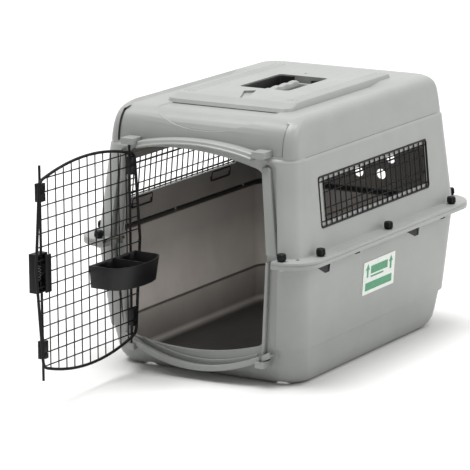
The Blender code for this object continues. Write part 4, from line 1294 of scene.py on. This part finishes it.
@dataclass
class FlangeHardware:
    """The lobed knob nuts on the flange and the round-headed bolts under it."""

    pattern: Pattern
    lobes: int = 6
    profile: tuple[Point, ...] = (  # height, radius and how deep the lobes are there
        (0.0, 0.0066, 0.0), (0.0005, 0.0072, 0.0), (0.0018, 0.0074, 0.2), (0.0034, 0.0095, 1.0),
        (0.0046, 0.0098, 1.0), (0.0112, 0.0096, 1.0), (0.0128, 0.0091, 1.0), (0.0141, 0.0080, 0.9),
        (0.0150, 0.0062, 0.5), (0.0154, 0.0036, 0.0),
    )

    def knob(self) -> Piece:
        """One knob nut, standing on the origin."""
        rings: list[list[Point]] = []
        for z, radius, lobed in self.profile:
            rings.append([])
            for i in range(48):
                angle = 2 * math.pi * i / 48
                reach = radius * (1 - 0.24 * lobed * (1 - abs(math.cos(self.lobes * angle / 2))))
                rings[-1].append((reach * math.cos(angle), reach * math.sin(angle), z))
        return loft("knob", rings, BLACK)

    def bolt(self) -> Piece:
        """One bolt, its head hanging under the origin."""
        rows = ((-0.0042, 0.0016), (-0.0039, 0.0034), (-0.0028, 0.0056), (-0.0010, 0.0068), (0.0, 0.0070),
                (0.0001, self.pattern.bolt_radius), (0.0256, self.pattern.bolt_radius))
        rings = [[(x, y, z) for x, y in circle((0.0, 0.0), radius, 20)] for z, radius in rows]
        return loft("bolt", rings, ZINC)

    def build(self, copies: CopyTool) -> None:
        """Sets a knob and a bolt at every fastener place."""
        places = self.pattern.fasteners()
        numbers = range(1, len(places) + 1)
        top = self.pattern.flange_top + self.pattern.gap
        knobs = copies.copies("knob_nuts", self.knob(), [(x, y, top) for x, y in places], BLACK, 40.0)
        place_on(knobs, "kennel", *[f"knob_nut_{n:02d}" for n in numbers])
        low = self.pattern.flange_bottom - self.pattern.gap
        bolts = copies.copies("flange_bolts", self.bolt(), [(x, y, low) for x, y in places], ZINC)
        place_on(bolts, "kennel", *[f"flange_bolt_{n:02d}" for n in numbers])


def carry_handle() -> None:
    """Dresses the tray, which is open on its right, the pivots and the humped grip."""
    tray = softened("handle_liner", "kennel", TRAY, 0.0008)
    cut(tray, box("open_side", ((-0.0220, 0.0800), (-0.2000, 0.2000), (0.4000, 0.6000)), TRAY))
    softened("handle_pivot_front", "kennel", BLACK, 0.0010)
    softened("handle_pivot_rear", "kennel", BLACK, 0.0010)
    softened("carry_handle", "carry_handle", GRIP, 0.0012)


@dataclass
class UprightLabel:
    """The sticker on the right wall, with plain green arrows and bars that say which way is up."""

    centre: Flat = (-0.0060, 0.1690)
    halves: Flat = (0.0640, 0.0330)
    wall_head: float = 0.2325
    wall_crease: float = 0.2205
    head_z: float = 0.2440
    crease_z: float = 0.0762
    bars: tuple[tuple[float, float, float, float], ...] = (
        (-0.034, 0.034, 0.006, 0.022), (-0.034, 0.018, -0.001, 0.0025), (-0.054, 0.054, -0.026, -0.010),
    )

    def placing(self) -> Matrix:
        """From the label's own (out, along, up) axes to the wall."""
        lean = math.atan((self.wall_head - self.wall_crease) / (self.head_z - self.crease_z))
        x = self.wall_crease + (self.centre[1] - self.crease_z) * math.tan(lean) + 0.0003
        return Matrix.Translation((x, *self.centre)) @ Matrix.Rotation(lean, 4, "Y")

    def build(self) -> None:
        """Builds the film and its printing."""
        edge = rounded_rectangle(*[(-half, half) for half in self.halves], 0.0015, 4)
        film = prism("label_film", edge, "X", (0.0, 0.0005), FILM)
        film.data.transform(self.placing())
        place_on(smooth(film), "kennel", "label_plate")
        shapes = [
            ((y - 0.0035, 0.001), (y + 0.0035, 0.001), (y + 0.0035, 0.016), (y + 0.0080, 0.016), (y, 0.0285),
             (y - 0.0080, 0.016), (y - 0.0035, 0.016)) for y in (-0.047, 0.047)
        ]
        shapes += [((left, low), (right, low), (right, high), (left, high)) for left, right, low, high in self.bars]
        pieces = [prism("ink", shape, "X", (0.0004, 0.0007), INK) for shape in shapes]
        ink = joined("label_print", pieces)
        ink.data.transform(self.placing())
        place_on(ink, "kennel", slot="label_paper")


# ---- Studio ----


@dataclass
class Studio:
    """A pale floor, soft light from above, weaker lamps from the right and inside, and the camera."""

    eye: Point = (3.0764, -5.2789, 1.6004)
    yaw: float = 0.5393
    pitch: float = -0.2223
    roll: float = -0.0059
    lens: float = 240.8
    shift: Flat = (-0.0192, 0.0003)

    def camera(self) -> None:
        """A long lens from the right of the door."""
        forward = Vector((-math.sin(self.yaw) * math.cos(self.pitch), math.cos(self.yaw) * math.cos(self.pitch),
                          math.sin(self.pitch)))
        right = Vector((math.cos(self.yaw), math.sin(self.yaw), 0.0))
        up = right.cross(forward)
        turned = math.cos(self.roll) * right + math.sin(self.roll) * up
        upright = -math.sin(self.roll) * right + math.cos(self.roll) * up
        data = bpy.data.cameras.new("camera")
        data.lens = self.lens
        data.sensor_width = 36.0
        data.shift_x, data.shift_y = self.shift
        data.clip_end = 60.0
        made = link("camera", data)
        axes = Matrix((turned, upright, -forward)).transposed().to_4x4()
        made.matrix_world = Matrix.Translation(self.eye) @ axes
        bpy.context.scene.camera = made

    def lamp(self, name: str, place: Point, aim: Point, size: float, power: float) -> None:
        """A square soft light that faces a point and isn't seen itself."""
        data = bpy.data.lights.new(name, "AREA")
        data.size = size
        data.energy = power
        made = link(name, data)
        made.location = place
        made.rotation_euler = (Vector(aim) - Vector(place)).to_track_quat("-Z", "Y").to_euler()
        made.visible_camera = False

    def sun(self, name: str, towards: Point, strength: float, spread_degrees: float) -> None:
        """An even, soft light from far away in one direction."""
        data = bpy.data.lights.new(name, "SUN")
        data.energy = strength
        data.angle = math.radians(spread_degrees)
        link(name, data).rotation_euler = Vector(towards).to_track_quat("Z", "Y").to_euler()

    def floor(self) -> None:
        """A matt pale floor."""
        mesh = bpy.data.meshes.new("floor")
        mesh.from_pydata([(-9, -9, 0), (9, -9, 0), (9, 9, 0), (-9, 9, 0)], [], [(0, 1, 2, 3)])
        paper = bpy.data.materials.new("floor_paper")
        paper.use_nodes = True
        shader = paper.node_tree.nodes["Principled BSDF"]
        for name, value in (("Base Color", srgb("#DADAD9")), ("Roughness", 0.9), ("Specular IOR Level", 0.1)):
            shader.inputs[name].default_value = value
        mesh.materials.append(paper)
        link("floor", mesh)

    def build(self) -> None:
        """Sets up floor, light and camera."""
        self.floor()
        self.camera()
        world = bpy.data.worlds.new("room")
        world.use_nodes = True
        tree = world.node_tree
        sky = tree.nodes["Background"]
        sky.inputs["Color"].default_value = (1.0, 1.0, 1.0, 1.0)
        # The room is darker in front of the door, where nothing is lit, than behind the kennel.
        heading = add_node(tree, "ShaderNodeTexCoord").outputs["Generated"]
        depth = add_node(tree, "ShaderNodeSeparateXYZ", {"Vector": heading}).outputs["Y"]
        tree.links.new(remap(tree, depth, (-0.5, 0.3), (0.40, 1.04)), sky.inputs["Strength"])
        bpy.context.scene.world = world
        bpy.context.scene.view_settings.view_transform = "Standard"
        self.sun("overhead", (-0.16, -0.12, 1.0), 3.3, 44.0)
        self.lamp("right_fill", (3.4, 0.5, 2.7), (0, 0, 0.3), 1.6, 30.0)
        self.lamp("glint", (0.95, 0.05, 2.4), (0.2, -0.2, 0.4), 0.30, 8.0)
        self.lamp("inside", (0.13, -0.20, 0.40), (-0.22, 0.06, 0.10), 0.14, 0.72)


FRAME: dict[str, Any] = {}


def main() -> None:
    """Builds every sub-assembly in order round the loaded frame."""
    logging.basicConfig(level=logging.INFO, format="%(name)s: %(message)s")
    FRAME.update(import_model())
    Studio().build()
    wire, copies = WireTool(), CopyTool()
    pattern, doorway = Pattern(), Doorway()
    upper = UpperShell(pattern, doorway)
    upper.build(copies)
    LowerShell(pattern, doorway).build(upper)
    door = Door(doorway, pattern)
    door.build(wire)
    door.spring(wire)
    softened("double_bowl", "bowl", TRAY, 0.0009)
    SideWindow(1, "right").build(wire)
    SideWindow(-1, "left").build(wire)
    FlangeHardware(pattern).build(copies)
    carry_handle()
    UprightLabel().build()


if __name__ == "__main__":
    main()
